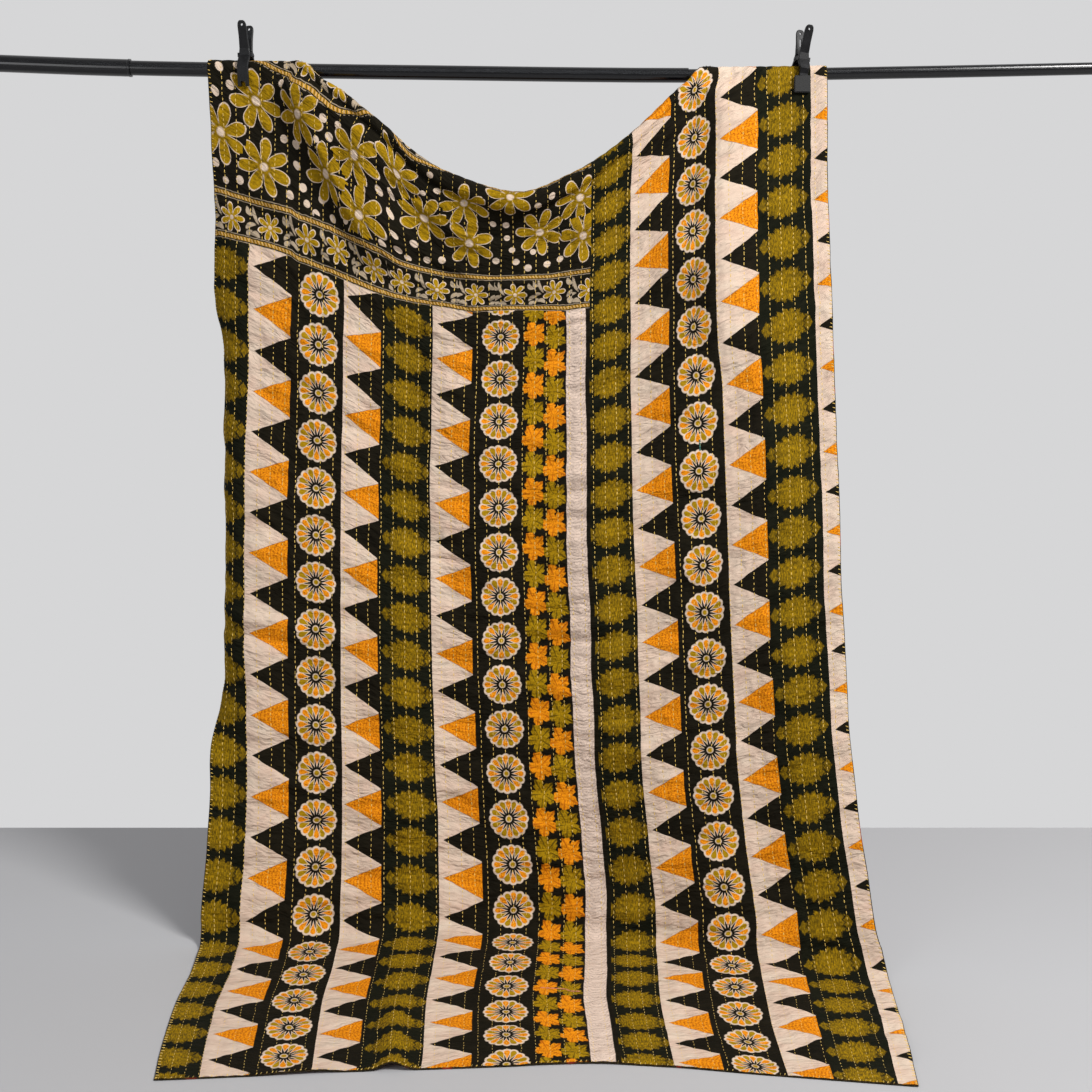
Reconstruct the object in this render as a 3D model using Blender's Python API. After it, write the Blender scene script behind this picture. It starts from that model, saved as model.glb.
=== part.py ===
"""A kantha quilt clipped over a telescopic rod, with its foot lying on the floor.

Metres, +Z up, the floor at Z = 0. The quilt's face looks towards -Y, and the rod runs along X.
The quilt is one cloth. Its top is turned back over the rod, two spring clips hold it near its
ends, and between them its top fold droops in front of the rod like a cowl. It leans forward as
it falls, and its last half metre lies on the floor.

Every point of the cloth is found from two cloth coordinates: across, from the left side, and
travel, the distance down its own side view. The tables give the drape at a few places, and
smooth curves join them.
"""

import math
from collections import namedtuple

import bmesh
import bpy
import numpy as np
from mathutils import Vector

# ---- the cloth
CLOTH_WIDTH = 1.335
CLOTH_THICK = 0.003
QUILTING_RELIEF = 0.0010  # the cloth stands this much higher between two rows of stitches
STITCHED_CHANNELS = 52  # lengthwise channels between the rows of running stitch
ROD_PLANE = (0.0174, 0.0148)  # how far in front of the rod's axis the left and right sides hang
RIGHT_PLANE_FROM = 1.091  # across
SIDE_STRIP = 0.075  # the left side's strip that rolls back

# ---- the rod: three tubes, each sliding in the one before
ROD_Y = 0.4230  # the rod stands behind the middle of the drape
ROD_HALF_LENGTH = 1.18
OUTER_TUBE_RADIUS = 0.0175
MIDDLE_TUBE_RADIUS = 0.015
INNER_TUBE_RADIUS = 0.0125
OUTER_MOUTH_X = -0.872
MIDDLE_MOUTH_X = 0.299
TUBE_OVERLAP = 0.06
TUBE_SIDES = 28
RING_SPACING = 0.12
MOUTH_LIP = 0.0008  # how far the outer tube's rolled mouth stands out
GAP = 0.0003  # between pieces that touch

# ---- the clips
PIVOT_ABOVE_ROD = 0.0285
PIN_RADIUS = 0.0025
SPRING_RADIUS = 0.0052
Clip = namedtuple("Clip", "name x yaw tilt padded")  # angles in degrees
CLIPS = (
    Clip("left_clip", -0.629, -6, 0, False),
    Clip("right_clip", 0.536, 12, 6, True),
)

# One lever of a clip, from its handle's end down to its jaw's tip. height is above the pivot,
# and out is how far its middle stands from the plane through the pivot.
Lever = namedtuple("Lever", "height out width thick")
HANDLE = (
    Lever(0.0665, 0.0270, 0.0080, 0.0040),
    Lever(0.0650, 0.0266, 0.0125, 0.0048),
    Lever(0.0615, 0.0256, 0.0165, 0.0056),
    Lever(0.0560, 0.0240, 0.0182, 0.0060),
    Lever(0.0350, 0.0175, 0.0180, 0.0070),
    Lever(0.0130, 0.0108, 0.0205, 0.0075),
    Lever(0.0000, 0.0110, 0.0240, 0.0070),
    Lever(-0.0120, 0.0200, 0.0240, 0.0075),
)
PLAIN_JAW = (
    Lever(-0.0260, 0.0285, 0.0240, 0.0070),
    Lever(-0.0420, 0.0272, 0.0240, 0.0070),
    Lever(-0.0650, 0.0242, 0.0235, 0.0056),
)
PADDED_JAW = (
    Lever(-0.0210, 0.0260, 0.0200, 0.0070),
    Lever(-0.0310, 0.0232, 0.0185, 0.0044),
    Lever(-0.0430, 0.0228, 0.0180, 0.0040),
)
CORNER_CUT = 0.18  # of a lever's thickness
HANDLE_HOLE_HEIGHT = 0.0585
HANDLE_HOLE_RADIUS = 0.0027
HANDLE_SLOT = (0.0042, 0.0380, 0.0170)  # width, height of its middle, length: the padded clip's back
NOTCH = (0.0095, 0.0095)  # width and depth, in a plain jaw's tip
EAR_THICK = 0.0030
EAR_RADIUS = 0.0058
FRONT_EAR_X = 0.0135  # the front lever's ears stand outside the back lever's
BACK_EAR_X = 0.0095
PIN_HALF_LENGTH = 0.0165
SPRING_HALF_LENGTH = 0.0075
PAD_SIZE = (0.0335, 0.0100, 0.0340)
PAD_OUT = 0.0228
PAD_HEIGHT = -0.0525
PAD_SLOT = (0.0190, 0.0052)

# ---- the drape
RodPoint = namedtuple("RodPoint", "x height")
ROD_LINE = (
    RodPoint(-1.18, 1.8130),
    RodPoint(-0.87, 1.8024),
    RodPoint(-0.28, 1.7935),
    RodPoint(0.30, 1.7876),
    RodPoint(0.75, 1.7935),
    RodPoint(1.18, 1.8020),
)

# The top fold, from the left side to the right. drop: its centre below the rod's axis.
# forward: the front layer in front of the rod's axis. roll: the fold's radius.
# flap: the cloth behind the fold.
Fold = namedtuple("Fold", "across drop forward roll flap")
TOP_FOLD = (
    Fold(0.000, 0.0000, 0.0174, 0.0174, 0.105),
    Fold(0.095, 0.0000, 0.0174, 0.0174, 0.100),
    Fold(0.115, 0.0000, 0.0174, 0.0174, 0.072),
    Fold(0.128, 0.0000, 0.0174, 0.0174, 0.034),
    Fold(0.141, 0.0000, 0.0174, 0.0174, 0.022),
    Fold(0.154, 0.0000, 0.0174, 0.0174, 0.012),
    Fold(0.162, 0.0000, 0.0174, 0.0174, 0.006),
    Fold(0.174, -0.0077, 0.0182, 0.0100, 0.002),
    Fold(0.187, -0.0045, 0.0251, 0.0090, 0.002),
    Fold(0.200, 0.0030, 0.0312, 0.0090, 0.003),
    Fold(0.214, 0.0200, 0.0380, 0.0100, 0.008),
    Fold(0.235, 0.0370, 0.0450, 0.0105, 0.020),
    Fold(0.262, 0.0510, 0.0520, 0.0105, 0.036),
    Fold(0.314, 0.0920, 0.0620, 0.0120, 0.050),
    Fold(0.366, 0.1330, 0.0710, 0.0140, 0.060),
    Fold(0.418, 0.1800, 0.0800, 0.0160, 0.075),
    Fold(0.499, 0.2300, 0.0900, 0.0190, 0.090),
    Fold(0.656, 0.2730, 0.1000, 0.0220, 0.098),
    Fold(0.773, 0.2320, 0.0920, 0.0210, 0.090),
    Fold(0.833, 0.1960, 0.0820, 0.0180, 0.078),
    Fold(0.908, 0.1390, 0.0700, 0.0150, 0.060),
    Fold(0.999, 0.0560, 0.0520, 0.0110, 0.036),
    Fold(1.020, 0.0380, 0.0440, 0.0105, 0.020),
    Fold(1.040, 0.0220, 0.0360, 0.0100, 0.008),
    Fold(1.054, 0.0036, 0.0293, 0.0090, 0.003),
    Fold(1.067, -0.0042, 0.0226, 0.0080, 0.002),
    Fold(1.080, -0.0066, 0.0163, 0.0090, 0.002),
    Fold(1.091, 0.0000, 0.0148, 0.0148, 0.004),
    Fold(1.104, 0.0000, 0.0148, 0.0148, 0.013),
    Fold(1.117, 0.0000, 0.0148, 0.0148, 0.022),
    Fold(1.130, 0.0000, 0.0148, 0.0148, 0.033),
    Fold(1.143, 0.0000, 0.0148, 0.0148, 0.070),
    Fold(1.160, 0.0000, 0.0148, 0.0148, 0.095),
    Fold(1.335, 0.0000, 0.0148, 0.0148, 0.105),
)

# Where the cloth reaches the floor and where its hem lies, in front of the rod's axis.
Foot = namedtuple("Foot", "across lands hem")
FEET = (
    Foot(0.000, 0.350, 0.858),
    Foot(0.110, 0.341, 0.849),
    Foot(0.222, 0.330, 0.840),
    Foot(0.330, 0.315, 0.830),
    Foot(0.440, 0.300, 0.824),
    Foot(0.615, 0.290, 0.812),
    Foot(0.760, 0.320, 0.802),
    Foot(0.900, 0.360, 0.814),
    Foot(1.050, 0.410, 0.838),
    Foot(1.335, 0.500, 0.878),
)

# The side view: what share of the way forward the cloth has gone at each height.
Lean = namedtuple("Lean", "height share")
LEAN = (
    Lean(0.052, 1.00),
    Lean(0.150, 0.88),
    Lean(0.300, 0.74),
    Lean(0.600, 0.54),
    Lean(1.000, 0.32),
    Lean(1.400, 0.14),
    Lean(1.740, 0.00),
    Lean(1.820, 0.00),
)
BEND_RADIUS = 0.05  # of the turn from hanging to lying
LYING = CLOTH_THICK / 2  # the height of the cloth's middle where it lies on the floor
TOP_HEIGHT = 1.812  # travel down the cloth is counted from here in the sections and creases
BULGE_FADES = 0.06  # the height over which the drooping fold falls back into the cloth below
CREASE_FADES = 0.25  # the share of a crease's length over which its ends die away
LIFT_STARTS = 0.04  # a crease grows to its height over this much travel below the top fold
SHOULDER = 0.42  # how far down the drooping fold shapes the cloth

# The cloth's columns at each travel below the rod: its left side laid flat, three columns of
# rosettes and its right side, as world X, and how far the left side rolls back, in degrees.
Section = namedtuple("Section", "travel left a b c right rolled")
ACROSS = (0.0, 0.222, 0.615, 1.050, CLOTH_WIDTH)
SECTIONS = (
    Section(-0.20, -0.707, -0.472, -0.094, 0.310, 0.587, 0),
    Section(0.00, -0.707, -0.472, -0.094, 0.310, 0.587, 0),
    Section(0.15, -0.703, -0.474, -0.095, 0.315, 0.590, 5),
    Section(0.30, -0.701, -0.476, -0.095, 0.314, 0.590, 24),
    Section(0.50, -0.707, -0.479, -0.096, 0.315, 0.597, 42),
    Section(0.62, -0.708, -0.480, -0.097, 0.316, 0.600, 80),
    Section(0.90, -0.719, -0.487, -0.102, 0.324, 0.606, 100),
    Section(1.20, -0.719, -0.488, -0.097, 0.334, 0.611, 97),
    Section(1.35, -0.710, -0.488, -0.092, 0.339, 0.616, 70),
    Section(1.50, -0.706, -0.484, -0.086, 0.344, 0.626, 0),
    Section(1.65, -0.708, -0.484, -0.076, 0.358, 0.639, 0),
    Section(1.80, -0.714, -0.486, -0.070, 0.372, 0.653, 0),
    Section(1.88, -0.709, -0.484, -0.071, 0.371, 0.668, 0),
    Section(1.96, -0.703, -0.481, -0.072, 0.366, 0.662, 0),
    Section(2.15, -0.694, -0.473, -0.076, 0.360, 0.641, 0),
    Section(2.38, -0.664, -0.452, -0.070, 0.362, 0.613, 0),
)

# Soft folds that stand out of the cloth. Each crest runs between two places in the cloth, given
# as across and travel. near and far are its widths on its left and right.
Crease = namedtuple("Crease", "across travel to_across to_travel height near far")
CREASES = (
    Crease(0.150, 0.03, 0.345, 0.42, 0.020, 0.030, 0.110),
    Crease(0.300, 0.16, 0.560, 0.40, 0.010, 0.040, 0.080),
    Crease(0.760, 0.40, 0.990, 0.10, 0.009, 0.060, 0.050),
    Crease(0.410, 1.00, 0.400, 1.60, 0.008, 0.060, 0.060),
    Crease(0.820, 0.75, 0.800, 1.65, 0.009, 0.070, 0.070),
    Crease(1.190, 0.50, 1.215, 1.60, 0.008, 0.060, 0.060),
    Crease(0.600, 0.60, 0.590, 1.20, 0.006, 0.060, 0.080),
    Crease(0.412, 2.16, 0.418, 2.50, 0.014, 0.022, 0.024),
    Crease(1.120, 1.86, 1.170, 2.20, 0.007, 0.040, 0.050),
)


def column(table, name):
    return np.array([getattr(row, name) for row in table], float)


def smooth(at, knots, values):
    """A curve through the values at the knots, with no overshoot between them."""
    steps = np.diff(knots)
    slopes = np.diff(values) / steps
    middle = np.where(
        slopes[:-1] * slopes[1:] > 0,
        2 * slopes[:-1] * slopes[1:] / (slopes[:-1] + slopes[1:] + 1e-30),
        0.0,
    )
    tangents = np.concatenate([slopes[:1], middle, slopes[-1:]])
    at = np.clip(np.asarray(at, float), knots[0], knots[-1])
    i = np.clip(np.searchsorted(knots, at, side="right") - 1, 0, len(steps) - 1)
    t = (at - knots[i]) / steps[i]
    return (
        (1 + 2 * t) * (1 - t) ** 2 * values[i]
        + t * (1 - t) ** 2 * steps[i] * tangents[i]
        + t * t * (3 - 2 * t) * values[i + 1]
        - t * t * (1 - t) * steps[i] * tangents[i + 1]
    )


def read(table, key, name, at):
    return smooth(at, column(table, key), column(table, name))


def rod_height(x):
    return read(ROD_LINE, "x", "height", x)


def section_x(across, travel):
    """World X of the cloth at these cloth coordinates, before its left side rolls back."""
    stations = [read(SECTIONS, "travel", name, travel) for name in ("left", "a", "b", "c", "right")]
    return float(smooth(across, np.array(ACROSS), np.array(stations, float)))


class SideView:
    """The cloth's side view at one place across.

    Travel along it is 0 at the top of the fold, positive down the front to the hem and negative
    down the flap. line holds rows of travel, distance in front of the rod's axis, and height."""

    def __init__(self, across):
        drop, fold_forward, self.roll, self.flap = (
            float(read(TOP_FOLD, "across", name, across)) for name in Fold._fields[1:]
        )
        self.lands, self.hem = (float(read(FEET, "across", name, across)) for name in Foot._fields[1:])
        self.centre = float(rod_height(section_x(across, 0.0))) - drop
        left, right = ROD_PLANE
        self.plane = left + (right - left) * min(1.0, across / RIGHT_PLANE_FROM)
        self.bulge = 0.0
        self.bulge = fold_forward - float(self.forward(self.centre))
        step = 0.001
        leaning = math.atan(float(self.forward(self.centre - step) - fold_forward) / step)
        fold = self.fold_arc(fold_forward, leaning)
        tail = np.array([[fold[0, 0], self.centre - 2 * self.flap]])
        hanging = self.hanging(fold[-1, 1])
        line = np.concatenate([tail, fold, hanging, self.bend(hanging[-1, 0])])
        travel = np.concatenate([[0], np.cumsum(np.hypot(*np.diff(line, axis=0).T))])
        top = travel[1 + int(np.argmax(fold[:, 1]))]
        self.line = np.column_stack([travel - top, line])
        self.quarter = travel[len(fold)] - top  # from the top of the fold to the front layer
        self.bends_at = travel[len(fold) + len(hanging)] - top
        self.length = travel[-1] - top
        self.below_top = TOP_HEIGHT - float(np.max(fold[:, 1]))

    def forward(self, height):
        share = read(LEAN, "height", "share", height)
        plain = self.plane + (self.lands - BEND_RADIUS - self.plane) * share
        return plain + self.bulge * np.exp((height - self.centre) / BULGE_FADES)

    def fold_arc(self, fold_forward, leaning):
        """From the back of the top fold, over it, to where the front layer leaves it."""
        turn = np.linspace(math.pi, leaning, 25)
        centre = fold_forward - self.roll * math.cos(leaning)
        return np.stack([centre + self.roll * np.cos(turn), self.centre + self.roll * np.sin(turn)], 1)

    def hanging(self, highest):
        height = np.linspace(highest, LYING + BEND_RADIUS, 60)[1:]
        return np.stack([self.forward(height), height], 1)

    def bend(self, begins):
        turn = np.linspace(0, math.pi / 2, 9)[1:]
        forward = begins + BEND_RADIUS * (1 - np.cos(turn))
        height = LYING + BEND_RADIUS * (1 - np.sin(turn))
        return np.concatenate([np.stack([forward, height], 1), [[self.hem, LYING]]])

    def at(self, travel):
        """Distance in front of the rod's axis, and height."""
        return np.interp(travel, self.line[:, 0], self.line[:, 1]), np.interp(
            travel, self.line[:, 0], self.line[:, 2]
        )

    def rows(self):
        """The travels of the solid's rows, from the flap's hem to the front's."""
        over = min(self.quarter, 0.55 * self.flap)
        shoulder = SHOULDER - self.below_top
        past_bend = self.bends_at + math.pi / 2 * BEND_RADIUS
        spans = (
            (-self.flap, -over, (0, 0.45)),
            (-over, 0, (0, 1 / 3, 2 / 3)),
            (0, self.quarter, (0, 1 / 3, 2 / 3)),
            (self.quarter, shoulder, (0, 0.14, 0.32, 0.52, 0.75)),
            (shoulder, self.bends_at, (0, 0.2, 0.4, 0.6, 0.78, 0.92)),
            (self.bends_at, past_bend, (0, 0.33, 0.67)),
            (past_bend, self.length, (0, 0.22, 0.45, 0.7, 0.87, 1)),
        )
        return [start + (end - start) * share for start, end, shares in spans for share in shares]


def side_roll(across, rolled):
    """How far the rolled left side moves the cloth to the right and back."""
    if across >= SIDE_STRIP or rolled < 1:
        return 0.0, 0.0
    angle = math.radians(rolled)
    inside = (SIDE_STRIP - across) / SIDE_STRIP
    radius = SIDE_STRIP / angle
    return SIDE_STRIP - across - radius * math.sin(angle * inside), radius * (1 - math.cos(angle * inside))


def crease_height(across, travel):
    """How far the creases lift the cloth here."""
    lift = 0.0
    for crease in CREASES:
        run = np.array([crease.to_across - crease.across, crease.to_travel - crease.travel])
        offset = np.array([across - crease.across, travel - crease.travel])
        length = math.hypot(*run)
        along = float(offset @ run) / length**2
        aside = float(run[1] * offset[0] - run[0] * offset[1]) / length
        width = crease.far if aside > 0 else crease.near
        ends = min(1.0, max(0.0, min(along, 1 - along) / CREASE_FADES + 0.5))
        lift += crease.height * (3 - 2 * ends) * ends**2 * math.exp(-((aside / width) ** 2))
    return lift


def cloth_grid(columns):
    """The middle of the cloth, as points[row][column], from the flap's hem to the front's."""
    grid = []
    for i in range(columns + 1):
        across = CLOTH_WIDTH * i / columns
        view = SideView(across)
        strip = []
        for travel in view.rows():
            forward, height = view.at(travel)
            down = view.below_top + travel
            rolled = float(read(SECTIONS, "travel", "rolled", down))
            shift, back = side_roll(across, rolled)
            rises = min(1.0, max(0.0, (travel - view.quarter) / LIFT_STARTS))
            lift = crease_height(across, down) * (3 - 2 * rises) * rises**2
            lying = min(1.0, max(0.0, (travel - view.bends_at) / (math.pi / 2 * BEND_RADIUS)))
            strip.append(
                (
                    section_x(across, down) + shift,
                    -(forward + lift * (1 - lying)) + back,
                    height + lift * lying,
                )
            )
        grid.append(strip)
    return np.array(grid).transpose(1, 0, 2)


def normals(grid):
    """Unit normals of a grid of points, on the side of the quilt's face."""
    along = np.gradient(grid, axis=0)
    over = np.gradient(grid, axis=1)
    facing = np.cross(over, along)
    return -facing / np.linalg.norm(facing, axis=2, keepdims=True)


def make_material(name, color, roughness, metallic=0.0):
    material = bpy.data.materials.new(name)
    material.use_nodes = True
    shader = material.node_tree.nodes["Principled BSDF"]
    shader.inputs["Base Color"].default_value = (*color, 1)
    shader.inputs["Roughness"].default_value = roughness
    shader.inputs["Metallic"].default_value = metallic
    return material


def add_object(name, mesh, material, parent, place=(0, 0, 0), smooth_under=math.radians(40)):
    mesh.materials.append(material)
    mesh.shade_smooth()
    mesh.set_sharp_from_angle(angle=smooth_under)
    obj = bpy.data.objects.new(name, mesh)
    obj.location = place
    obj.parent = parent
    bpy.context.scene.collection.objects.link(obj)
    return obj


def make_quilt(root, material):
    """A closed sheet: the face raised between the rows of stitches, and the plain reverse."""
    columns = 2 * STITCHED_CHANNELS
    grid = cloth_grid(columns)
    facing = normals(grid)
    relief = np.where(np.arange(columns + 1) % 2 == 1, QUILTING_RELIEF, 0)[None, :, None]
    front = grid + facing * (CLOTH_THICK / 2 + relief)
    back = grid - facing * CLOTH_THICK / 2
    back[..., 2] = np.maximum(back[..., 2], 0)
    rows, count = grid.shape[:2]
    points = np.concatenate([front.reshape(-1, 3), back.reshape(-1, 3)])
    layer = rows * count
    faces = []
    for r in range(rows - 1):
        for c in range(count - 1):
            a, b = r * count + c, r * count + c + 1
            d, e = a + count, b + count
            faces += [(a, d, e, b), (a + layer, b + layer, e + layer, d + layer)]
    rim = [(r, 0) for r in range(rows)] + [(rows - 1, c) for c in range(1, count)]
    rim += [(r, count - 1) for r in range(rows - 2, -1, -1)] + [(0, c) for c in range(count - 2, 0, -1)]
    ids = [r * count + c for r, c in rim]
    faces += [(a, a + layer, b + layer, b) for a, b in zip(ids, ids[1:] + ids[:1])]
    mesh = bpy.data.meshes.new("quilt")
    mesh.from_pydata(points.tolist(), [], faces)
    shape = bmesh.new()
    shape.from_mesh(mesh)
    bmesh.ops.recalc_face_normals(shape, faces=shape.faces)
    bmesh.ops.triangulate(shape, faces=shape.faces)
    shape.to_mesh(mesh)
    shape.free()
    return add_object("quilt", mesh, material, root)


def ringed_mesh(name, rings):
    """A closed mesh through rings of points, with a flat face at each end."""
    sides = len(rings[0])
    faces = []
    for r in range(len(rings) - 1):
        for s in range(sides):
            a, b = r * sides + s, r * sides + (s + 1) % sides
            faces.append((a, b, b + sides, a + sides))
    last = (len(rings) - 1) * sides
    faces += [tuple(range(sides)), tuple(range(last, last + sides))]
    mesh = bpy.data.meshes.new(name)
    mesh.from_pydata([point for ring in rings for point in ring], [], faces)
    shape = bmesh.new()
    shape.from_mesh(mesh)
    bmesh.ops.recalc_face_normals(shape, faces=shape.faces)
    shape.to_mesh(mesh)
    shape.free()
    return mesh


def make_tube(name, profile, root, material):
    """A round bar along the rod's line. profile is rows of (x, radius); it may end in a socket."""
    angles = np.linspace(0, 2 * math.pi, TUBE_SIDES, endpoint=False)
    rings = [
        [(x, radius * math.cos(a), float(rod_height(x)) + radius * math.sin(a)) for a in angles]
        for x, radius in profile
    ]
    return add_object(name, ringed_mesh(name, rings), material, root)


def along_rod(start, end):
    """Places along the rod, near enough together to follow its sag."""
    return list(np.linspace(start, end, 2 + int((end - start) / RING_SPACING)))


def make_rod(root, material):
    """Each tube's left end lies in a socket in the tube before it."""
    lip = OUTER_TUBE_RADIUS + MOUTH_LIP
    middle_socket = MIDDLE_TUBE_RADIUS + GAP
    inner_socket = INNER_TUBE_RADIUS + GAP
    middle_begins = OUTER_MOUTH_X - TUBE_OVERLAP
    inner_begins = MIDDLE_MOUTH_X - TUBE_OVERLAP
    outer = [(x, OUTER_TUBE_RADIUS) for x in along_rod(-ROD_HALF_LENGTH, OUTER_MOUTH_X - 0.005)]
    outer += [(OUTER_MOUTH_X - 0.004, lip), (OUTER_MOUTH_X, lip)]
    outer += [(OUTER_MOUTH_X, middle_socket), (middle_begins, middle_socket)]
    middle = [(x, MIDDLE_TUBE_RADIUS) for x in along_rod(middle_begins + GAP, MIDDLE_MOUTH_X)]
    middle += [(MIDDLE_MOUTH_X, inner_socket), (inner_begins, inner_socket)]
    inner = [(x, INNER_TUBE_RADIUS) for x in along_rod(inner_begins + GAP, ROD_HALF_LENGTH)]
    make_tube("rod_outer_tube", outer, root, material)
    make_tube("rod_middle_tube", middle, root, material)
    make_tube("rod_inner_tube", inner, root, material)


def boolean(obj, other, operation):
    cut = obj.modifiers.new(operation.lower(), "BOOLEAN")
    cut.operation = operation
    cut.solver = "EXACT"
    cut.object = other
    other.hide_render = True
    other.display_type = "WIRE"


def round_bar(name, radius, half_length, place, parent, axis="x", sides=16):
    """A helper shape: a closed cylinder along one axis."""
    mesh = bpy.data.meshes.new(name)
    shape = bmesh.new()
    bmesh.ops.create_cone(
        shape, cap_ends=True, segments=sides, radius1=radius, radius2=radius, depth=2 * half_length
    )
    if axis == "x":
        turn = ((0, 0, 1), (0, 1, 0), (-1, 0, 0))
    else:
        turn = ((1, 0, 0), (0, 0, -1), (0, 1, 0))
    for vertex in shape.verts:
        vertex.co = [sum(turn[i][j] * vertex.co[j] for j in range(3)) for i in range(3)]
    shape.to_mesh(mesh)
    shape.free()
    obj = bpy.data.objects.new(name, mesh)
    obj.location = place
    obj.parent = parent
    bpy.context.scene.collection.objects.link(obj)
    return obj


def box(name, size, place, parent):
    mesh = bpy.data.meshes.new(name)
    shape = bmesh.new()
    bmesh.ops.create_cube(shape, size=1)
    for vertex in shape.verts:
        vertex.co = [vertex.co[i] * size[i] for i in range(3)]
    shape.to_mesh(mesh)
    shape.free()
    obj = bpy.data.objects.new(name, mesh)
    obj.location = place
    obj.parent = parent
    bpy.context.scene.collection.objects.link(obj)
    return obj


def lever_mesh(name, side, table):
    """The lever's arm, lofted through its rows with its corners cut. side is -1 for the front."""
    rings = []
    for row in table:
        wide, deep, cut = row.width / 2, row.thick / 2, row.thick * CORNER_CUT
        corners = (
            (wide, deep - cut),
            (wide - cut, deep),
            (cut - wide, deep),
            (-wide, deep - cut),
            (-wide, cut - deep),
            (cut - wide, -deep),
            (wide - cut, -deep),
            (wide, cut - deep),
        )
        rings.append([(x, side * row.out + y, row.height) for x, y in corners])
    return ringed_mesh(name, rings)


def make_lever(name, side, frame, material, padded):
    table = HANDLE + (PADDED_JAW if padded else PLAIN_JAW)
    obj = add_object(name, lever_mesh(name, side, table), material, frame)
    ear_x = FRONT_EAR_X if side < 0 else BACK_EAR_X
    for which, sign in (("left", -1), ("right", 1)):
        ear = round_bar(f"{name}_{which}_ear", EAR_RADIUS, EAR_THICK / 2, (sign * ear_x, 0, 0), frame)
        web_size = (EAR_THICK, 0.0105, 0.0080)
        web = box(f"{name}_{which}_web", web_size, (sign * ear_x, side * 0.0072, 0.0005), frame)
        boolean(obj, ear, "UNION")
        boolean(obj, web, "UNION")
    if side < 0:
        bridge = box(f"{name}_bridge", (0.029, 0.0030, 0.0080), (0, side * 0.0120, 0.0005), frame)
        boolean(obj, bridge, "UNION")
    bore = round_bar(f"{name}_bore", PIN_RADIUS + GAP, 0.03, (0, 0, 0), frame)
    boolean(obj, bore, "DIFFERENCE")
    hole_place = (0, side * 0.025, HANDLE_HOLE_HEIGHT)
    hole = round_bar(f"{name}_hole", HANDLE_HOLE_RADIUS, 0.02, hole_place, frame, axis="y", sides=12)
    boolean(obj, hole, "DIFFERENCE")
    if padded and side > 0:
        width, middle, length = HANDLE_SLOT
        slot = box(f"{name}_slot", (width, 0.03, length), (0, 0.0185, middle), frame)
        boolean(obj, slot, "DIFFERENCE")
    if not padded:
        width, depth = NOTCH
        notch_place = (0, side * 0.027, table[-1].height)
        notch = box(f"{name}_notch", (width, 0.03, 2 * depth), notch_place, frame)
        boolean(obj, notch, "DIFFERENCE")


def make_pad(name, side, frame, root, material):
    """A pad that lies flat on the cloth and holds the lever's tip in a slot in its top."""
    mesh = bpy.data.meshes.new(name)
    shape = bmesh.new()
    bmesh.ops.create_cube(shape, size=1)
    for vertex in shape.verts:
        vertex.co = [vertex.co[i] * PAD_SIZE[i] for i in range(3)]
    bmesh.ops.bevel(shape, geom=list(shape.edges), offset=0.0015, segments=2, affect="EDGES")
    shape.to_mesh(mesh)
    shape.free()
    tip = PADDED_JAW[-1]
    under_pivot = frame.rotation_euler.to_matrix() @ Vector((0, side * tip.out, PAD_HEIGHT))
    place = frame.location + under_pivot
    pad = add_object(name, mesh, material, root, (place.x, side * PAD_OUT, place.z))
    slot_place = (0, side * tip.out, tip.height - GAP + 0.01)
    slot = box(f"{name}_slot", (*PAD_SLOT, 0.02), slot_place, frame)
    boolean(pad, slot, "DIFFERENCE")


def make_clip(clip, root, plastic, rubber):
    """A spring clip that straddles the rod: two levers, a pin, its spring and perhaps pads."""
    name = clip.name
    frame = bpy.data.objects.new(f"{name}_frame", None)
    frame.location = (clip.x, 0, float(rod_height(clip.x)) + PIVOT_ABOVE_ROD)
    frame.rotation_euler = (0, math.radians(clip.tilt), math.radians(clip.yaw))
    frame.parent = root
    bpy.context.scene.collection.objects.link(frame)
    make_lever(f"{name}_front_lever", -1, frame, plastic, clip.padded)
    make_lever(f"{name}_back_lever", 1, frame, plastic, clip.padded)
    pin = round_bar(f"{name}_pin", PIN_RADIUS, PIN_HALF_LENGTH, (0, 0, 0), frame)
    pin.data.materials.append(plastic)
    spring = round_bar(f"{name}_spring", SPRING_RADIUS, SPRING_HALF_LENGTH, (0, 0, 0), frame, sides=20)
    spring.data.materials.append(plastic)
    bore = round_bar(f"{name}_spring_bore", PIN_RADIUS + GAP, 0.02, (0, 0, 0), frame)
    boolean(spring, bore, "DIFFERENCE")
    if clip.padded:
        make_pad(f"{name}_front_pad", -1, frame, root, rubber)
        make_pad(f"{name}_back_pad", 1, frame, root, rubber)


def main():
    for obj in list(bpy.data.objects):
        bpy.data.objects.remove(obj, do_unlink=True)
    root = bpy.data.objects.new("root", None)
    root.location = (0, ROD_Y, 0)
    bpy.context.scene.collection.objects.link(root)
    cotton = make_material("printed cotton", (0.06, 0.065, 0.045), 0.9)
    steel = make_material("black painted tube", (0.012, 0.013, 0.016), 0.42, 0.0)
    plastic = make_material("black plastic", (0.015, 0.015, 0.017), 0.5)
    rubber = make_material("black rubber", (0.02, 0.02, 0.02), 0.8)
    make_quilt(root, cotton)
    make_rod(root, steel)
    for clip in CLIPS:
        make_clip(clip, root, plastic, rubber)


main()
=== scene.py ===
"""The looks of a kantha quilt clipped over a telescopic rod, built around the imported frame.

Metres, +Z up. The quilt's face, reverse, hems and stitches lie on the same drape as its solid.
Places in the cloth are given as across, from its left side, with one of three lengths: travel,
from the top of the fold over the rod, down, from TOP_HEIGHT, or thread, along the printed stripes.
"""

import math
from collections import namedtuple

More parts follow.
